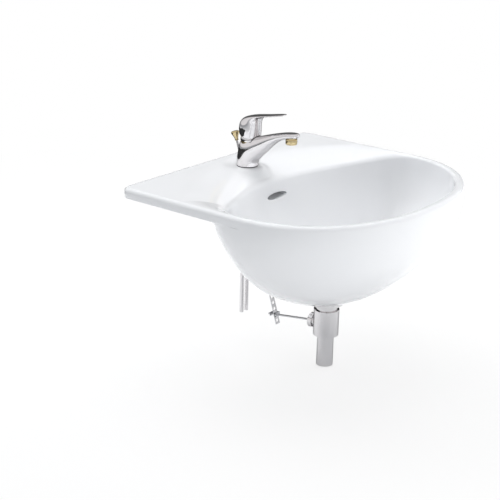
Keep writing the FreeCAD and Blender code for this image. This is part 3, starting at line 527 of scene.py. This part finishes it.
# ------------------------------------------------------------------ the ceramic
@dataclass
class Ceramic:
    """The glazed basin: deck with its dish, rim, bowl, outer shell and overflow, in millimetres.

    A power says how square an outline or a section is: 2 is round, and more is fuller. Edges are rings
    round a corner, each with its step sideways and its height.
    """

    group: bpy.types.NodeTree
    # plan and rim
    half_width: float = 280.0
    rear: float = 15.0
    front_reach: float = 218.0
    widest: float = -256.0
    corner: float = 20.0
    plan_power: float = 2.19
    rear_power: float = 1.76
    rim: float = 19.0
    rim_rounding: float = 8.0
    rim_width: float = 17.0
    low_edge: tuple[tuple[float, float], ...] = ((0.0, 6.0), (0.0, 1.2), (0.35, 0.35), (1.2, 0.0))
    # inner lip, and the deck that sinks to it over the beach
    lip_rounding: float = 6.0
    rear_lip_spread: float = 1.6
    dip_start: float = -0.2
    dip: float = 25.0
    beach: float = 80.0
    # bowl and outer shell
    floor: float = -180.0
    inner_power: float = 2.1
    seat_radius: float = 34.0
    rear_reach_top: float = 158.0
    rear_wall_power: float = 1.1
    rear_wall: float = 16.0
    shell_bottom: float = -202.0
    shell_power: float = 1.82
    shell_turn: float = 1.36
    shell_share: float = 0.98
    # waste hole and its boss
    hole_radius: float = 23.0
    hole_edge: tuple[tuple[float, float], ...] = ((0.0, -1.2), (0.4, -0.4), (1.2, 0.0))
    boss_radius: float = 36.0
    boss_bottom: float = -206.5
    boss_neck: float = 2.0
    boss_neck_steps: tuple[float, float] = (0.3, 1.5)
    boss_edge: float = 1.2
    # tap hole, its level platform and the dish round it
    tap: float = -56.0
    tap_hole: float = 17.5
    tap_hole_heights: tuple[float, float] = (-10.0, 30.0)
    platform: float = 15.0
    platform_radius: float = 24.0
    platform_blend: float = 50.0
    dish_centre: float = -101.0
    dish_half_width: float = 225.0
    dish_half_depth: float = 95.0
    dish_fall: float = 5.0
    dish_level: float = 0.18
    # overflow slot and the housing of its channel
    overflow: float = -30.0
    overflow_width: float = 60.0
    overflow_height: float = 11.0
    overflow_power: float = 1.85
    overflow_start: float = -14.0
    overflow_end: float = 24.0
    overflow_drop: float = 4.0
    housing_half_width: float = 36.0
    housing_shoulder: float = 12.0
    housing_blend: float = 2.0
    housing_depth: float = 31.0
    housing_inset: float = 0.4
    housing_end: float = 0.84
    tap_room: float = 28.0
    # steps of the mesh
    columns: int = 384
    wall_rows: int = 34
    lip_rows: int = 14
    deck_rows: int = 30
    rounding_rows: int = 8
    shell_rows: int = 30
    overflow_points: int = 72

    @property
    def lip(self) -> float:
        """Height where the inner wall ends and the rounded lip starts."""
        return self.rim - self.lip_rounding

    def egg(self, reach: float, front: float, rear: float, column: int, inner: bool = False) -> Vector:
        """Gives a column's place on an outline with its own reach to the front and the rear.

        Args:
            reach: Half width.
            front: Reach to the front of the widest line.
            rear: Reach to its rear.
            column: Number of the column, counted from the right by way of the rear.
            inner: Whether it is an outline of the bowl's inside, which is less full behind.

        Returns:
            The place in plan, in millimetres.
        """
        angle = math.tau * column / self.columns
        behind = column < self.columns / 2
        power = self.rear_power if inner and behind else self.plan_power
        return Vector((reach * rounded_wave(math.cos(angle), power),
                       self.widest + (rear if behind else front) * rounded_wave(math.sin(angle), power), 0))

    def dip_at(self, column: int) -> float:
        """Gives how far the lip dips at a column: not at all at the front, fully behind the bowl."""
        return self.dip * smooth_step(math.sin(math.tau * column / self.columns), self.dip_start, 1.0)

    def wall_place(self, depth: float, column: int) -> Vector:
        """Gives a column's place on the inner wall.

        Args:
            depth: 0 where the lip ends, 1 at the floor of the bowl.
            column: Number of the column.

        Returns:
            The place, in millimetres.
        """
        top = self.lip - self.dip_at(column)
        height = top - (top - self.floor) * depth
        return self.egg(*self.reaches(height), column, inner=True) + Vector((0, 0, height))

    def reaches(self, height: float) -> tuple[float, float, float]:
        """Gives half width, front reach and rear reach of the inner wall at a height."""
        depth = min(1.0, max(0.0, (self.lip - height) / (self.lip - self.floor)))
        wall = (1 - depth ** self.inner_power) ** (1 / self.inner_power)
        slope = (1 - depth) ** self.rear_wall_power
        grown = [self.seat_radius + (top - self.rim_width - self.seat_radius) * wall
                 for top in (self.half_width, self.front_reach)]
        return grown[0], grown[1], self.seat_radius + (self.rear_reach_top - self.seat_radius) * slope

    def edge(self, inset: float, column: int) -> Vector:
        """Gives a column's place on the basin's own outline, straight at the sides and the rear.

        Args:
            inset: How far inside the outline.
            column: Number of the column.

        Returns:
            The place in plan, in millimetres.
        """
        x_side = self.half_width - inset
        y_rear = self.rear - inset
        if column >= self.columns / 2:
            return self.egg(x_side, self.front_reach - inset, 1.0, column)
        _, _, rear = self.reaches(self.lip)
        aim = self.egg(self.half_width - self.rim_width, 1.0, rear, column, inner=True)
        aim -= Vector((0, self.widest, 0))
        radius = self.corner - inset
        corner = Vector((math.copysign(x_side - radius, aim.x), y_rear - radius - self.widest, 0))
        reach = min(x_side / max(abs(aim.x), TINY), (y_rear - self.widest) / max(aim.y, TINY))
        place = aim * reach
        if abs(place.x) > abs(corner.x) and place.y > corner.y:
            across = aim.normalized()
            offset = corner.dot(across)
            gap = corner.length_squared - offset ** 2
            place = across * (offset + math.sqrt(max(0.0, radius ** 2 - gap)))
        return place + Vector((0, self.widest, 0))

    def deck_height(self, x: float, y: float, dip: float = 0.0) -> float:
        """Gives the deck's height: a shallow dish round the tap, and a level platform under it.

        Args:
            x: Place across.
            y: Place towards the wall.
            dip: How far the deck has sunk here on its way to the bowl.

        Returns:
            The height, in millimetres.
        """
        spread_out = (x / self.dish_half_width) ** 2 + ((y - self.dish_centre) / self.dish_half_depth) ** 2
        fall = self.dish_fall * (1 - smooth_step(math.sqrt(spread_out), self.dish_level, 1.0))
        height = self.rim - fall - dip
        from_tap = math.hypot(x, y - self.tap)
        near_tap = 1 - smooth_step(from_tap, self.platform_radius, self.platform_blend)
        return height + (self.platform - height) * near_tap

    def housing(self, x: float, y: float, height: float) -> float:
        """Gives the rear face's place where the overflow channel bulges out of it."""
        end = self.floor * self.housing_end
        top = self.widest + self.reaches(self.overflow)[2]
        low = self.widest + self.reaches(end)[2]
        run = (top - low) / (self.overflow - end)
        face = top + run * (height - self.overflow) + self.housing_depth * math.hypot(1, run)
        face = min(face, self.tap - self.tap_room)
        share = 1 - smooth_step(abs(x), self.housing_half_width - self.housing_shoulder,
                                self.housing_half_width + self.housing_blend)
        return y + max(0.0, face - self.housing_inset - y) * share

    def ring(self, place: Callable[[int], Vector]) -> list[Vector]:
        """Gives one ring of places in metres from a rule for a column."""
        return [place(column) * MM for column in range(self.columns)]

    def rows(self) -> list[list[Vector]]:
        """Lists the rings from the waste hole up the bowl, over the deck, and down the outside.

        Returns:
            The rings, each a list of places in metres.
        """
        def circle(radius: float, height: float) -> list[Vector]:
            return self.ring(lambda column: Vector((
                radius * math.cos(math.tau * column / self.columns),
                self.widest + radius * math.sin(math.tau * column / self.columns), height)))

        rows = [circle(self.hole_radius, self.boss_bottom + self.boss_edge / 2)]
        rows += [circle(self.hole_radius + out, self.floor + rise) for out, rise in self.hole_edge]
        for turn in spread(self.wall_rows, math.pi / 2, 0.0):
            depth = math.sin(turn) ** (2 / self.inner_power)
            rows.append(self.ring(lambda column, depth=depth: self.wall_place(depth, column)))
        rows += [self.ring(lambda column, share=share: self.lip_place(share, column))
                 for share in spread(self.lip_rows)[1:]]
        rows += [self.ring(lambda column, share=share: self.deck_place(share, column))
                 for share in spread(self.deck_rows)[1:-1]]
        for turn in spread(self.rounding_rows, math.pi / 2, 0.0):
            inset = self.rim_rounding * (1 - math.cos(turn))
            rise = self.rim_rounding * math.sin(turn)
            rows.append(self.ring(lambda column, inset=inset, rise=rise: self.edge(inset, column)
                                  + Vector((0, 0, self.rim - self.rim_rounding + rise))))
        for inset, height in self.low_edge:
            rows.append(self.ring(lambda column, inset=inset, height=height:
                                  self.underside_edge(inset, height, column)))
        for turn in spread(self.shell_rows, 0.0, self.shell_turn):
            share = math.sin(turn) ** (2 / self.shell_power)
            size = math.cos(turn) ** (2 / self.shell_power)
            rows.append(self.ring(lambda column, share=share, size=size:
                                  self.shell_place(share, size, column)))
        above, below = self.boss_neck_steps
        rows += [circle(self.boss_radius + self.boss_neck, self.shell_bottom - above),
                 circle(self.boss_radius, self.shell_bottom - below),
                 circle(self.boss_radius, self.boss_bottom + self.boss_edge),
                 circle(self.boss_radius - self.boss_edge, self.boss_bottom),
                 circle(self.hole_radius + self.boss_edge / 2, self.boss_bottom)]
        return rows

    def lip_curve(self, column: int) -> tuple[Vector, Vector, Vector, float]:
        """Gives what shapes the rounded lip at a column.

        Args:
            column: Number of the column.

        Returns:
            Its end on the wall, the corner it rounds off, its end on the deck, and the length over
            which the deck sinks towards it.
        """
        wall = self.wall_place(0.0, column)
        height = wall.z + self.lip_rounding
        reach, front, rear = self.reaches(height)
        out = self.lip_rounding
        corner = self.egg(reach, front, rear, column, inner=True) + Vector((0, 0, height))
        deck = self.egg(reach + out, front + out, rear + out * self.rear_lip_spread, column, inner=True)
        run = min(self.beach, (self.edge(self.rim_rounding, column) - deck).to_2d().length)
        steepness = 2 * (deck - corner).to_2d().length / run
        deck.z = (height + steepness * self.deck_height(deck.x, deck.y)) / (1 + steepness)
        return wall, corner, deck, run

    def lip_place(self, share: float, column: int) -> Vector:
        """Gives a column's place on the rounded inner lip, from the wall (0) to the deck (1)."""
        wall, corner, deck, _ = self.lip_curve(column)
        return wall * (1 - share) ** 2 + corner * 2 * share * (1 - share) + deck * share ** 2

    def deck_place(self, share: float, column: int) -> Vector:
        """Gives a column's place on the deck, between the lip and the outer rounding."""
        _, _, inner, run = self.lip_curve(column)
        outer = self.edge(self.rim_rounding, column)
        place = inner + (outer - inner) * share
        left = max(0.0, 1 - share * (outer - inner).to_2d().length / run)
        sunk = (self.deck_height(inner.x, inner.y) - inner.z) * left ** 2
        place.z = self.deck_height(place.x, place.y, sunk)
        return place

    def underside_edge(self, inset: float, height: float, column: int) -> Vector:
        """Gives a column's place low on the deck's side: rounded at the rear, upright at the front."""
        front = column > self.columns / 2 or column == 0
        place = self.edge(0.0 if front else inset, column)
        place.z = height
        return place

    def shell_place(self, share: float, size: float, column: int) -> Vector:
        """Gives a column's place on the outside of the bowl."""
        height = self.shell_bottom / self.shell_share * share
        rear = self.reaches(height)[2] + self.rear_wall
        place = self.egg(self.half_width * size, self.front_reach * size, rear, column)
        if column < self.columns / 2:
            place.y = self.housing(place.x, place.y, height)
        place.z = height
        return place

    def overflow_cutter(self) -> bmesh.types.BMesh:
        """Builds the lens shaped slot of the overflow as a closed shape to take out."""
        middle = Vector((0, self.widest + self.reaches(self.overflow)[2], self.overflow))
        shape: list[Vector] = []
        for i in range(self.overflow_points):
            angle = math.tau * i / self.overflow_points
            across = rounded_wave(math.cos(angle), self.overflow_power)
            shape.append(Vector((self.overflow_width / 2 * across, 0,
                                 self.overflow_height / 2 * math.sin(angle))))
        start = Vector((0, self.overflow_start, 0))
        end = Vector((0, self.overflow_end, -self.overflow_drop))
        skin = Skin([(middle + place + start) * MM for place in shape])
        skin.cap()
        skin.grow([(middle + place + end) * MM for place in shape])
        skin.cap()
        return skin.mesh

    def build(self) -> None:
        """Builds the ceramic."""
        rows = self.rows()
        skin = Skin(rows[0])
        for row in rows[1:]:
            skin.grow(row)
        skin.close()
        piece = finish_mesh(skin.mesh, "ceramic_basin", GLAZE, Body.BASIN, self.group, "basin_body")
        cut(piece, self.overflow_cutter())
        cut(piece, bar(self.tap_hole, *self.tap_hole_heights, Vector((0, self.tap * MM, 0))))


# ------------------------------------------------------------------ the tap
@dataclass(frozen=True)
class Rib:
    """One ring of a swept form, in the middle plane of the tap: millimetres forward and up."""

    near: tuple[float, float]
    far: tuple[float, float]
    half_width: float
    power: float = 2.1


def sweep(ribs: Sequence[Rib], axis_y: float, foot_z: float, segments: int = 24) -> Skin:
    """Grows a skin through ribs that stand across the tap's middle plane.

    Args:
        ribs: The ribs from one end to the other.
        axis_y: Place of the tap's axis, in millimetres.
        foot_z: Height of the foot of the column, in millimetres.
        segments: Vertices in a ring.

    Returns:
        The open skin.
    """
    rings = []
    for rib in ribs:
        near = Vector((0, axis_y - rib.near[0], foot_z + rib.near[1]))
        far = Vector((0, axis_y - rib.far[0], foot_z + rib.far[1]))
        middle = (near + far) / 2
        half = (far - near) / 2
        ring = []
        for i in range(segments):
            angle = math.tau * i / segments
            side = Vector((rib.half_width * rounded_wave(math.cos(angle), rib.power), 0, 0))
            ring.append((middle + side + half * rounded_wave(math.sin(angle), rib.power)) * MM)
        rings.append(ring)
    skin = Skin(rings[0])
    for ring in rings[1:]:
        skin.grow(ring)
    return skin


@dataclass
class Tap:
    """Single lever tap: the casting, the lever and the gold nozzle, in millimetres.

    The foot and the pivot are heights above the seating face, and all other heights are above the foot. The
    ribs run from the foot to the tip of the spout, and from the hood's lower edge to the tip of the blade.
    """

    group: bpy.types.NodeTree
    axis: float = -56.0
    foot: float = 16.0
    hood_axis: float = -61.2
    pivot: float = 68.0
    hood_pocket: float = 22.7
    hood_pocket_floor: float = 50.0
    cartridge_pocket: float = 17.52
    cartridge_pocket_floor: float = 44.0
    above_tap: float = 184.0
    cavity: float = 18.9
    cavity_drop: float = 30.0
    cavity_steps: int = 16
    lever_segments: int = 32
    nozzle_forward: float = 104.0
    nozzle_bottom: float = 59.0
    below_spout: float = 40.0
    nozzle_socket: float = 11.5
    nozzle_socket_top: float = 70.0
    nozzle_thread: float = 9.42
    nozzle_thread_top: float = 78.6
    nozzle_outline: tuple[tuple[float, float], ...] = (
        (7.4, 1.5), (7.4, 0.5), (8.0, 0.0), (9.6, 0.0), (10.5, 0.5), (11.0, 1.4), (11.2, 2.6),
        (11.2, 6.4), (10.9, 6.7), (10.9, 7.3), (11.2, 7.6), (11.2, 10.2), (10.8, 10.9), (9.4, 10.95),
        (9.4, 18.0), (8.2, 18.0), (8.2, 1.5),
    )
    spout_tip: float = 0.8
    blade_tip: float = 0.5
    body_ribs: tuple[Rib, ...] = (
        Rib((21.8, 0.0), (-21.8, 0.0), 21.8, 2.0),
        Rib((21.8, 0.8), (-21.8, 0.8), 21.8, 2.0),
        Rib((21.7, 5.0), (-21.5, 6.0), 21.6, 2.0),
        Rib((23.2, 10.0), (-20.4, 17.0), 21.2, 2.0),
        Rib((27.5, 15.0), (-18.6, 31.0), 20.9, 2.05),
        Rib((33.0, 20.5), (-16.4, 45.0), 20.7, 2.1),
        Rib((38.0, 25.6), (-9.0, 54.0), 19.8, 2.15),
        Rib((44.0, 31.0), (8.0, 59.5), 18.0, 2.2),
        Rib((51.0, 38.5), (26.0, 60.8), 16.6, 2.3),
        Rib((60.0, 48.0), (43.0, 66.5), 15.6, 2.35),
        Rib((70.0, 56.0), (60.0, 71.8), 14.9, 2.4),
        Rib((82.0, 63.5), (77.0, 76.4), 14.3, 2.45),
        Rib((94.0, 68.2), (92.0, 79.8), 13.8, 2.5),
        Rib((106.0, 70.3), (106.0, 81.8), 13.1, 2.5),
        Rib((114.0, 71.6), (114.0, 82.0), 11.0, 2.4),
        Rib((118.0, 73.0), (118.0, 81.2), 7.6, 2.3),
    )
    lever_ribs: tuple[Rib, ...] = (
        Rib((25.8, 51.5), (-15.4, 60.8), 20.7, 2.0),
        Rib((26.6, 60.0), (-16.4, 67.5), 21.5, 2.0),
        Rib((27.1, 68.0), (-16.8, 74.0), 22.0, 2.0),
        Rib((27.2, 76.0), (-16.2, 81.0), 21.7, 2.0),
        Rib((27.4, 83.5), (-13.2, 88.0), 20.7, 2.05),
        Rib((28.2, 89.8), (-7.5, 94.0), 19.2, 2.1),
        Rib((30.4, 95.0), (2.0, 98.2), 17.8, 2.2),
        Rib((34.5, 98.8), (14.0, 101.2), 16.5, 2.3),
        Rib((42.0, 101.6), (29.0, 103.6), 15.0, 2.4),
        Rib((52.0, 103.8), (45.0, 106.2), 13.6, 2.5),
        Rib((64.0, 106.2), (61.0, 109.3), 12.5, 2.5),
        Rib((76.0, 108.5), (75.5, 111.9), 11.4, 2.5),
        Rib((84.0, 110.2), (84.0, 113.2), 9.6, 2.4),
        Rib((87.4, 111.4), (87.4, 113.4), 6.4, 2.3),
    )

    def build_body(self) -> None:
        """Builds the casting: column and spout in one smooth form, with the pocket for the hood."""
        skin = sweep(self.body_ribs, self.axis, self.foot)
        skin.close_ends(self.spout_tip)
        piece = finish_mesh(skin.mesh, "tap_casting", CHROME, Body.BASIN, self.group, "tap_body",
                            SMOOTH_LEVELS)
        centre = Vector((0, self.hood_axis * MM, 0))
        top = self.foot + self.above_tap
        for radius, floor in ((self.hood_pocket, self.hood_pocket_floor),
                              (self.cartridge_pocket, self.cartridge_pocket_floor)):
            cut(piece, bar(radius, self.foot + floor, top, centre, FINE_STEPS))
        socket = [(0, self.below_spout), (self.nozzle_socket, self.below_spout),
                  (self.nozzle_socket, self.nozzle_socket_top), (self.nozzle_thread, self.nozzle_socket_top),
                  (self.nozzle_thread, self.nozzle_thread_top), (0, self.nozzle_thread_top)]
        cut(piece, lathe(socket, Vector((0, (self.axis - self.nozzle_forward) * MM, self.foot * MM))))

    def build_lever(self) -> None:
        """Builds the lever: hood and blade in one form, hollow underneath."""
        skin = sweep(self.lever_ribs, self.axis, self.foot, self.lever_segments)
        skin.close_ends(self.blade_tip)
        piece = finish_mesh(skin.mesh, "lever_hood_and_blade", CHROME, Body.LEVER, self.group,
                            "lever_handle", SMOOTH_LEVELS)
        centre = Vector((0, self.hood_axis * MM, self.pivot * MM))
        arc = [(self.cavity * math.cos(turn), self.cavity * math.sin(turn))
               for turn in spread(self.cavity_steps, 0.0, math.pi / 2)]
        arc[-1] = (0.0, self.cavity)
        drop = -self.cavity_drop
        cut(piece, lathe([(0, drop), (self.cavity, drop), *arc], centre, FINE_STEPS))

    def build_nozzle(self) -> None:
        """Builds the gold nozzle with its rounded collar and groove."""
        centre = Vector((0, (self.axis - self.nozzle_forward) * MM, (self.foot + self.nozzle_bottom) * MM))
        mesh = lathe(self.nozzle_outline, centre, FINE_STEPS)
        finish_mesh(mesh, "gold_nozzle", GOLD, Body.BASIN, self.group, "aerator_housing")

    def build(self) -> None:
        """Builds the whole tap."""
        self.build_body()
        self.build_lever()
        self.build_nozzle()


@dataclass
class LiftKnob:
    """Gold knob on the lift rod behind the tap, with its outline measured along the rod from its foot."""

    group: bpy.types.NodeTree
    foot: Vector = field(default_factory=lambda: Vector((0, -43.1, 16.0)) * MM)
    tilt: float = math.radians(18.0)
    outline: tuple[tuple[float, float], ...] = (
        (0.0, 65.4), (3.0, 65.35), (5.4, 65.0), (7.0, 64.2), (7.8, 63.0), (8.0, 61.6), (7.7, 60.4),
        (6.4, 57.6), (5.0, 54.6), (3.9, 51.6), (3.3, 49.0), (3.3, 48.2), (3.7, 47.8), (3.7, 46.8),
        (3.2, 46.2), (2.05, 46.05), (0.0, 46.05),
    )

    def build(self) -> None:
        """Builds the knob as a turned shape along the rod."""
        mesh = lathe(self.outline, Vector())
        along_axis(mesh, self.foot, Vector((0, math.sin(self.tilt), math.cos(self.tilt))))
        finish_mesh(mesh, "gold_lift_knob", GOLD, Body.LIFT, self.group, "lift_knob")


# ------------------------------------------------------------------ the plug
@dataclass
class Plug:
    """Chrome dome of the plug, with the groove for its seal and the hole for its stem."""

    group: bpy.types.NodeTree
    axis: Vector = field(default_factory=lambda: Vector((0, -256.0, 0)) * MM)
    dome_height: float = 6.5
    outline: tuple[tuple[float, float], ...] = (
        (0, 6.45), (8, 6.2), (15, 5.5), (22, 4.1), (26.5, 2.9), (28.4, 2.1), (29, 1.2), (28.8, 0.4),
        (28, 0), (13.5, 0), (13.5, -4), (11.5, -4), (11.5, -7), (13.5, -7), (13.5, -12), (5.02, -12),
        (5.02, -6.1), (0, -6.1),
    )

    def build(self) -> None:
        """Builds the dome as a turned shape that hangs from the CAD node's top."""
        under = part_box("plug_head")[1][2] / MM - self.dome_height
        mesh = lathe([(radius, under + rise) for radius, rise in self.outline], self.axis, FINE_STEPS)
        finish_mesh(mesh, "plug_dome", CHROME, Body.PLUG, self.group, "plug_head")


# ------------------------------------------------------------------ stage
@dataclass(frozen=True)
class Lamp:
    """One soft box of the studio."""

    name: str
    place: tuple[float, float, float]
    target: tuple[float, float, float]
    width: float
    height: float
    power: float

    def build(self) -> None:
        """Hangs the lamp and points it at its target."""
        data = bpy.data.lights.new(self.name, "AREA")
        data.shape = "RECTANGLE"
        data.size = self.width
        data.size_y = self.height
        data.energy = self.power
        lamp = bpy.data.objects.new(self.name, data)
        bpy.context.scene.collection.objects.link(lamp)
        lamp.location = self.place
        lamp.rotation_euler = (Vector(self.target) - Vector(self.place)).to_track_quat("-Z", "Y").to_euler()
        lamp.visible_glossy = False


@dataclass(frozen=True)
class Card:
    """A dark card that only polished surfaces see, which draws the dark lines in the chrome."""

    name: str
    middle: tuple[float, float, float]
    width: float
    height: float
    facing: tuple[float, float, float]
    tone: float = 0.03

    def build(self) -> None:
        """Stands the card up, facing a direction."""
        mesh = bmesh.new()
        bmesh.ops.create_grid(mesh, x_segments=1, y_segments=1, size=0.5)
        bmesh.ops.scale(mesh, verts=mesh.verts, vec=(self.width, self.height, 1.0))
        along_axis(mesh, Vector(self.middle), Vector(self.facing))
        card = to_object(mesh, self.name)
        material = bpy.data.materials.new(self.name)
        material.use_nodes = True
        shader = material.node_tree.nodes["Principled BSDF"]
        shader.inputs["Base Color"].default_value = (self.tone, self.tone, self.tone, 1.0)
        shader.inputs["Specular IOR Level"].default_value = 0.0
        card.data.materials.append(material)
        card.visible_camera = False
        card.visible_diffuse = False
        card.visible_transmission = False
        card.visible_shadow = False
        card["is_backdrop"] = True


@dataclass
class Studio:
    """Floor, world light, lamps and camera."""

    place: Vector = field(default_factory=lambda: Vector((-1.83144, -1.51015, 0.67529)))
    azimuth: float = 51.7568
    elevation: float = 19.6458
    roll: float = 1.1864
    lens: float = 90.10
    sensor: float = 36.0
    floor_gap: float = 0.002
    floor_reach: float = 40.0
    floor_tone: float = 0.86
    fade_start: float = 0.3
    fade_end: float = 1.5
    fade_least: float = 0.78
    ambient: float = 0.43
    room_light: float = 0.85
    dim_light: float = 0.24
    dim_start: float = 0.72
    dim_end: float = 0.93
    dim_way: tuple[float, float, float] = (0.74, 0.58, 0.34)
    lamps: tuple[Lamp, ...] = (
        Lamp("top_box", (0.3, 0.2, 2.6), (0.0, -0.2, 0.0), 2.6, 2.6, 46.0),
        Lamp("back_box", (0.2, 1.7, 2.1), (0.0, -0.2, 0.0), 2.4, 1.4, 42.0),
        Lamp("right_low_box", (2.2, -1.6, 0.0), (0.0, -0.25, -0.1), 1.6, 0.6, 23.0),
        Lamp("front_low_box", (-0.4, -2.6, 0.0), (0.0, -0.25, -0.1), 1.6, 0.6, 15.0),
        Lamp("right_high_box", (2.2, -0.4, 1.3), (0.0, -0.2, 0.0), 1.6, 1.2, 10.0),
    )
    cards: tuple[Card, ...] = (
        Card("worktop_shade", (0.1, 0.24, 0.0), 1.1, 0.42, (0.0, 0.0, 1.0)),
        Card("camera_shade", (-1.25, -1.45, 0.55), 0.10, 0.9, (0.65, 0.75, 0.0)),
    )

    def camera(self) -> None:
        """Places the camera at the photograph's viewing angle."""
        data = bpy.data.cameras.new("photo_camera")
        data.lens = self.lens
        data.sensor_width = self.sensor
        data.sensor_fit = "HORIZONTAL"
        data.clip_start = 0.05
        data.clip_end = 200.0
        camera = bpy.data.objects.new("photo_camera", data)
        bpy.context.scene.collection.objects.link(camera)
        turn = (Matrix.Rotation(-math.radians(self.azimuth), 4, "Z")
                @ Matrix.Rotation(math.radians(90.0 - self.elevation), 4, "X")
                @ Matrix.Rotation(math.radians(self.roll), 4, "Z"))
        camera.matrix_world = Matrix.Translation(self.place) @ turn
        bpy.context.scene.camera = camera

    def floor(self, height: float) -> None:
        """Lays the pale floor, which fades into the white of the background away from the object.

        Args:
            height: Lowest point of the object.
        """
        mesh = bmesh.new()
        bmesh.ops.create_grid(mesh, x_segments=2, y_segments=2, size=self.floor_reach)
        bmesh.ops.translate(mesh, verts=mesh.verts, vec=(0, 0, height - self.floor_gap))
        floor = to_object(mesh, "floor")
        material = bpy.data.materials.new("pale_floor")
        material.use_nodes = True
        tree = material.node_tree
        tree.nodes.clear()
        link = tree.links.new
        result = add_node(tree, "OutputMaterial")
        blend = add_node(tree, "MixShader")
        matt = add_node(tree, "BsdfDiffuse")
        matt.inputs["Color"].default_value = (self.floor_tone, self.floor_tone, self.floor_tone, 1.0)
        glow = add_node(tree, "Emission")
        place = add_node(tree, "TexCoord")
        away = add_node(tree, "VectorMath", operation="LENGTH")
        fade = soft_range(tree, self.fade_start, self.fade_end, self.fade_least, 1.0)
        rays = add_node(tree, "LightPath")
        share = add_node(tree, "Math", operation="MULTIPLY")
        link(place.outputs["Object"], away.inputs[0])
        link(away.outputs["Value"], fade.inputs["Value"])
        link(rays.outputs["Is Camera Ray"], share.inputs[0])
        link(fade.outputs["Result"], share.inputs[1])
        link(share.outputs["Value"], blend.inputs["Fac"])
        link(matt.outputs["BSDF"], blend.inputs[1])
        link(glow.outputs["Emission"], blend.inputs[2])
        link(blend.outputs["Shader"], result.inputs["Surface"])
        floor.data.materials.append(material)
        floor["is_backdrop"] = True

    def world(self) -> None:
        """Sets the world: white where seen, a room with a dim side in reflections, cool light elsewhere."""
        world = bpy.data.worlds.new("studio")
        bpy.context.scene.world = world
        world.use_nodes = True
        tree = world.node_tree
        tree.nodes.clear()
        link = tree.links.new
        result = add_node(tree, "OutputWorld")
        seen = background(tree, (1.0, 1.0, 1.0))
        soft = background(tree, (0.93, 0.96, 1.0), self.ambient)
        room = background(tree, (1.0, 0.985, 0.99))
        direction = add_node(tree, "TexCoord")
        behind = add_node(tree, "VectorMath", operation="DOT_PRODUCT")
        behind.inputs[1].default_value = self.dim_way
        dim = soft_range(tree, self.dim_start, self.dim_end, self.room_light, self.dim_light)
        link(direction.outputs["Generated"], behind.inputs[0])
        link(behind.outputs["Value"], dim.inputs["Value"])
        link(dim.outputs["Result"], room.inputs["Strength"])
        rays = add_node(tree, "LightPath")
        mirrored = add_node(tree, "MixShader")
        open_way = add_node(tree, "Math", operation="MAXIMUM")
        direct = add_node(tree, "MixShader")
        link(rays.outputs["Is Camera Ray"], open_way.inputs[0])
        link(rays.outputs["Is Transmission Ray"], open_way.inputs[1])
        link(rays.outputs["Is Glossy Ray"], mirrored.inputs["Fac"])
        link(soft.outputs["Background"], mirrored.inputs[1])
        link(room.outputs["Background"], mirrored.inputs[2])
        link(open_way.outputs["Value"], direct.inputs["Fac"])
        link(mirrored.outputs["Shader"], direct.inputs[1])
        link(seen.outputs["Background"], direct.inputs[2])
        link(direct.outputs["Shader"], result.inputs["Surface"])

    def build(self, lowest: float) -> None:
        """Builds the stage.

        Args:
            lowest: Lowest point of the object.
        """
        self.camera()
        self.floor(lowest)
        self.world()
        for item in (*self.lamps, *self.cards):
            item.build()
        bpy.context.scene.view_settings.view_transform = "Standard"


def dress_cad_nodes(group: bpy.types.NodeTree) -> None:
    """Gives every CAD node the finish of its material slot.

    Args:
        group: The shared surface group.
    """
    slots = {entry["node"]: Slot(entry["material_slot"]) for entry in frame["record"]["subparts"]}
    for name, node in frame["nodes"].items():
        finish = FINISHES[slots[name]]
        node.data.materials.clear()
        node.data.materials.append(finish.material(group))
        log.info("%s: %s", name, finish.name)


def main() -> None:
    """Builds the scene in order, with the floor under the CAD model's lowest point."""
    logging.basicConfig(level=logging.INFO, format="%(name)s %(message)s")
    cad_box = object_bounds()
    group = surface_group()
    dress_cad_nodes(group)
    Ceramic(group).build()
    Tap(group).build()
    LiftKnob(group).build()
    Plug(group).build()
    Studio().build(cad_box[0][2])


if __name__ == "__main__":
    main()
